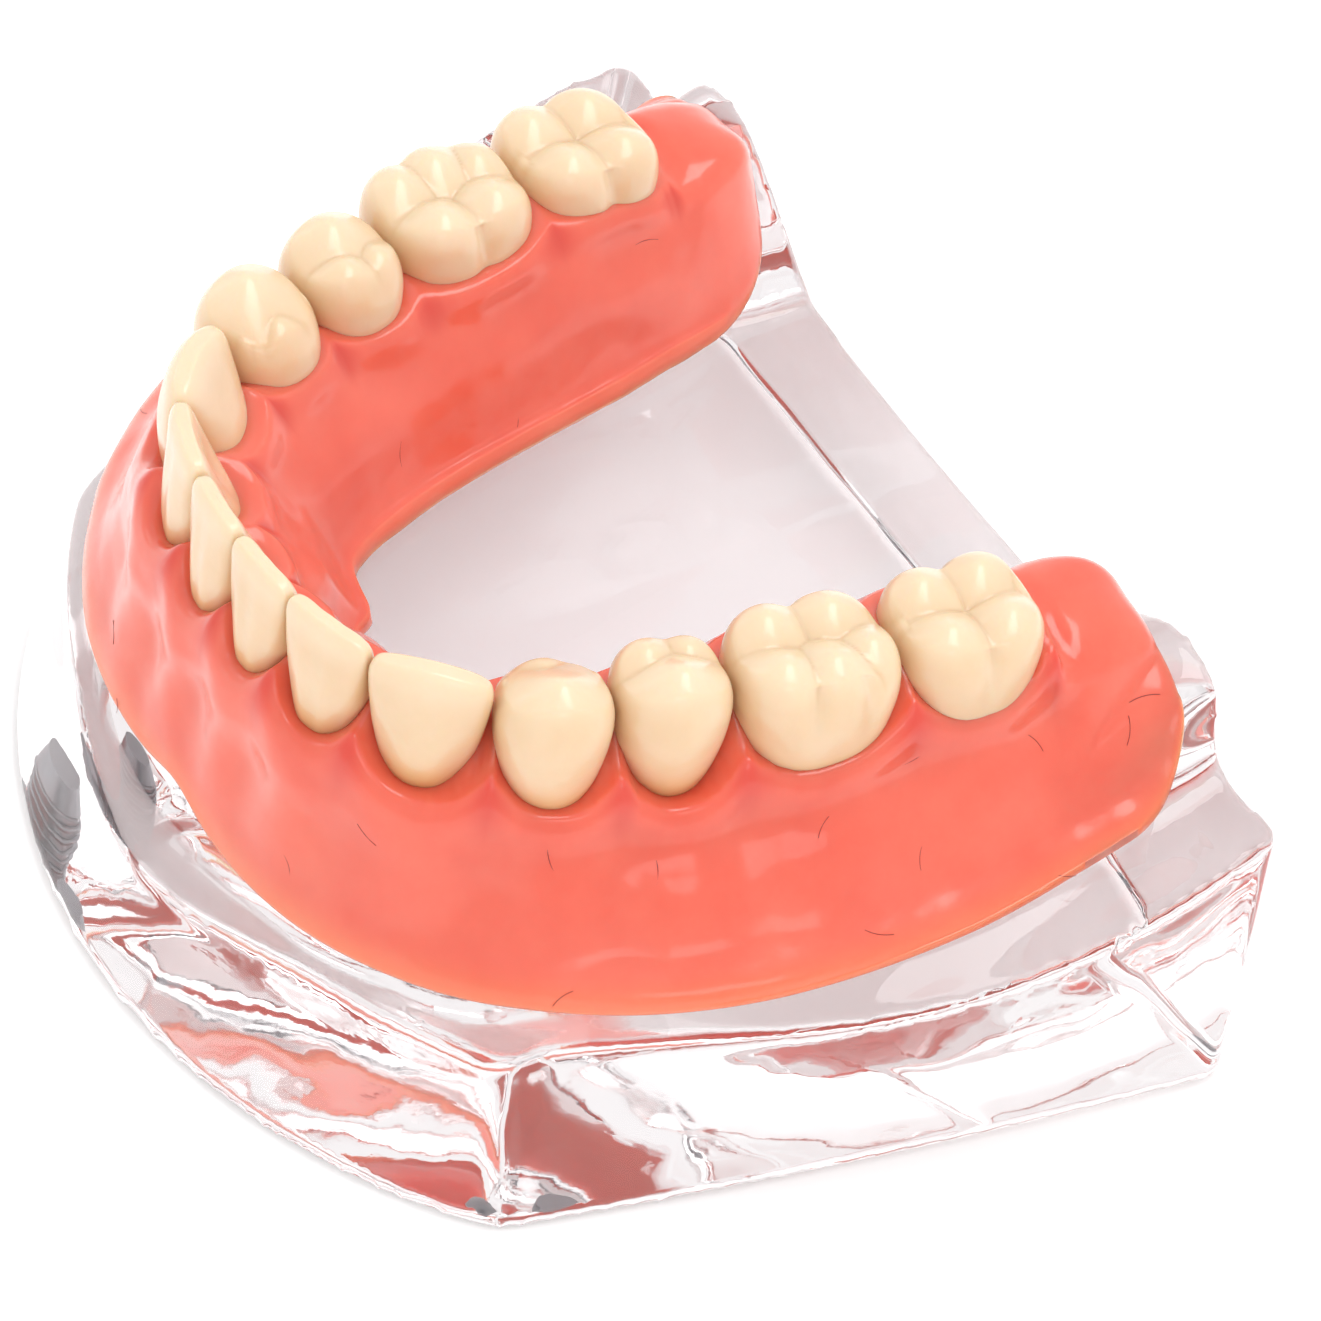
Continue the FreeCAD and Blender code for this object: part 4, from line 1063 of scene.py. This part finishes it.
hairs, h_in, h_out = geometry_tree("scattered_fibres", [
    ("Density", FLOAT, 40000.0), ("Length", FLOAT, 0.0015), ("Thickness", FLOAT, 0.00003),
    ("Bend", FLOAT, 0.3), ("Seed", INTEGER, 11), ("Material", MATERIAL, None)])
mask = node(hairs, "GeometryNodeInputNamedAttribute", {"Name": "outside"}, data_type="FLOAT")
density = node(hairs, "ShaderNodeMath", {0: mask.outputs["Attribute"], 1: h_in.outputs["Density"]},
               operation="MULTIPLY")
spots = node(hairs, "GeometryNodeDistributePointsOnFaces", {
    "Mesh": h_in.outputs["Geometry"], "Density": density.outputs[0], "Seed": h_in.outputs["Seed"]})
arc = node(hairs, "GeometryNodeCurveQuadraticBezier", {
    "Resolution": 7, "Start": (-0.5, 0, 0), "Middle": (0.0, 0.5, 0), "End": (0.5, 0, 0)})
bent = node(hairs, "ShaderNodeCombineXYZ", {"Y": h_in.outputs["Bend"]})
hairs.links.new(bent.outputs["Vector"], arc.inputs["Middle"])
sized = node(hairs, "GeometryNodeTransform", {"Geometry": arc.outputs["Curve"]})
length3 = node(hairs, "ShaderNodeCombineXYZ", {"X": h_in.outputs["Length"],
                                              "Y": h_in.outputs["Length"],
                                              "Z": h_in.outputs["Length"]})
hairs.links.new(length3.outputs["Vector"], sized.inputs["Scale"])
thin = node(hairs, "GeometryNodeCurvePrimitiveCircle", {"Resolution": 4,
                                                       "Radius": h_in.outputs["Thickness"]})
tube = node(hairs, "GeometryNodeCurveToMesh", {"Curve": sized.outputs["Geometry"],
                                              "Profile Curve": thin.outputs["Curve"],
                                              "Fill Caps": True})
spin = node(hairs, "FunctionNodeRandomValue", {"Seed": 5}, data_type="FLOAT")
spin.inputs[3].default_value = math.tau
about = node(hairs, "FunctionNodeAxisAngleToRotation", {"Axis": (0, 0, 1),
                                                       "Angle": spin.outputs[1]})
turned = node(hairs, "FunctionNodeRotateRotation", {"Rotation": spots.outputs["Rotation"],
                                                   "Rotate By": about.outputs["Rotation"]},
              rotation_space="LOCAL")
grow = node(hairs, "FunctionNodeRandomValue", {"Seed": 8}, data_type="FLOAT")
grow.inputs[2].default_value, grow.inputs[3].default_value = 0.5, 1.25
strewn = node(hairs, "GeometryNodeInstanceOnPoints", {
    "Points": spots.outputs["Points"], "Instance": tube.outputs["Mesh"],
    "Rotation": turned.outputs["Rotation"], "Scale": grow.outputs[1]})
solid = node(hairs, "GeometryNodeRealizeInstances", {"Geometry": strewn.outputs["Instances"]})
painted = node(hairs, "GeometryNodeSetMaterial", {"Geometry": solid.outputs["Geometry"],
                                                 "Material": h_in.outputs["Material"]})
hairs.links.new(painted.outputs["Geometry"], h_out.inputs["Geometry"])

fibres = bpy.data.objects.new("gum_fibres", gum.data.copy())
scene.collection.objects.link(fibres)
fibres = grown(fibres, hairs, Density=11000.0, Length=1.7 * MM, Thickness=0.022 * MM, Bend=0.16,
               Seed=11, Material=vessel)
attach(fibres, "denture")
report(fibres)

# %% [markdown]
# ## Floor, lights and camera
# The model stands on a plain pale floor. Soft light comes from a bright surround and three
# soft panels, which also draw the highlights on the gloss. The camera is far away
# with a long lens, looks down on the model from its left front, and is rolled a little.

# %% Floor
FLOOR_GAP = 0.25 * MM
FLOOR_HALF = 900
floor = finished("studio_floor", [(x * FLOOR_HALF, y * FLOOR_HALF, 0)
                                  for x, y in ((-1, -1), (1, -1), (1, 1), (-1, 1))], [(0, 1, 2, 3)])
floor.data.transform(Matrix.Translation((0, 0, -FLOOR_GAP)))
paper, tree, shader = finish_material("pale_paper", Roughness=0.75, Emission_Strength=0.28,
                                      Emission_Color=(1, 1, 1, 1))
fleck = use_group(tree, patches, Scale=25.0, Detail=2.0, Contrast=0.4)
whites = mix_colour(tree, fleck.outputs["Mask"], (0.90, 0.90, 0.90, 1), (0.93, 0.93, 0.93, 1))
tree.links.new(whites, shader.inputs["Base Color"])
floor.data.materials.clear()
floor.data.materials.append(paper)


# %% Lights
def soft_panel(name, where, aim, size, power):
    """A soft area light that faces a point; mm and watts."""
    data = bpy.data.lights.new(name, "AREA")
    data.shape = "RECTANGLE"
    data.size, data.size_y = size[0] * MM, size[1] * MM
    data.energy = power
    lamp = bpy.data.objects.new(name, data)
    scene.collection.objects.link(lamp)
    lamp.location = Vector(where) * MM
    lamp.rotation_euler = (Vector(aim) - Vector(where)).to_track_quat("-Z", "Y").to_euler()


CENTRE = (0, 0, 18)
soft_panel("overhead_panel", (60, 90, 420), CENTRE, (260, 200), 0.55)
soft_panel("front_panel", (420, -120, 330), CENTRE, (150, 150), 0.10)
soft_panel("left_panel", (-380, -160, 200), CENTRE, (120, 220), 0.06)
world = bpy.data.worlds.new("studio_surround")
world.use_nodes = True
world.node_tree.nodes["Background"].inputs["Color"].default_value = (1, 1, 1, 1)
world.node_tree.nodes["Background"].inputs["Strength"].default_value = 0.95
scene.world = world
scene.view_settings.view_transform = "Standard"
# Light bounces many times inside a clear block; too few bounces would leave it black.
scene.cycles.max_bounces = 32
scene.cycles.glossy_bounces = 24
scene.cycles.transmission_bounces = 32

# %% Camera
VIEW_AZIMUTH, VIEW_ELEVATION, VIEW_ROLL = 53.9, 44.4, 7.66
VIEW_DISTANCE = 410.0
FRONT_CONTACT = (0.0, -21.05, 34.6)
AIM_BEHIND = 20.0
FRAME_RIGHT, FRAME_DOWN = 0.01666, 0.03401
LENS = 190.8

azimuth, elevation = math.radians(VIEW_AZIMUTH), math.radians(VIEW_ELEVATION)
roll = math.radians(VIEW_ROLL)
back = Vector((math.sin(azimuth) * math.cos(elevation), -math.cos(azimuth) * math.cos(elevation),
               math.sin(elevation)))
right = Vector((math.cos(azimuth), math.sin(azimuth), 0))
up = back.cross(right)
tilted_right = right * math.cos(roll) + up * math.sin(roll)
tilted_up = up * math.cos(roll) - right * math.sin(roll)
target = Vector(FRONT_CONTACT) + Vector((0, AIM_BEHIND, 0))
spot = target + back * VIEW_DISTANCE
look = (-back + tilted_right * FRAME_RIGHT - tilted_up * FRAME_DOWN).normalized()
axis_z = -look
axis_x = (tilted_right - axis_z * tilted_right.dot(axis_z)).normalized()
axis_y = axis_z.cross(axis_x)
camera_data = bpy.data.cameras.new("view_camera")
camera_data.lens = LENS
camera_data.sensor_width = 36.0
camera_data.clip_start, camera_data.clip_end = 0.01, 20.0
camera = bpy.data.objects.new("view_camera", camera_data)
scene.collection.objects.link(camera)
camera.matrix_world = Matrix.Translation(spot * MM) @ Matrix(
    (axis_x, axis_y, axis_z)).transposed().to_4x4()
scene.camera = camera
print("camera at", [round(v, 1) for v in spot], "mm")
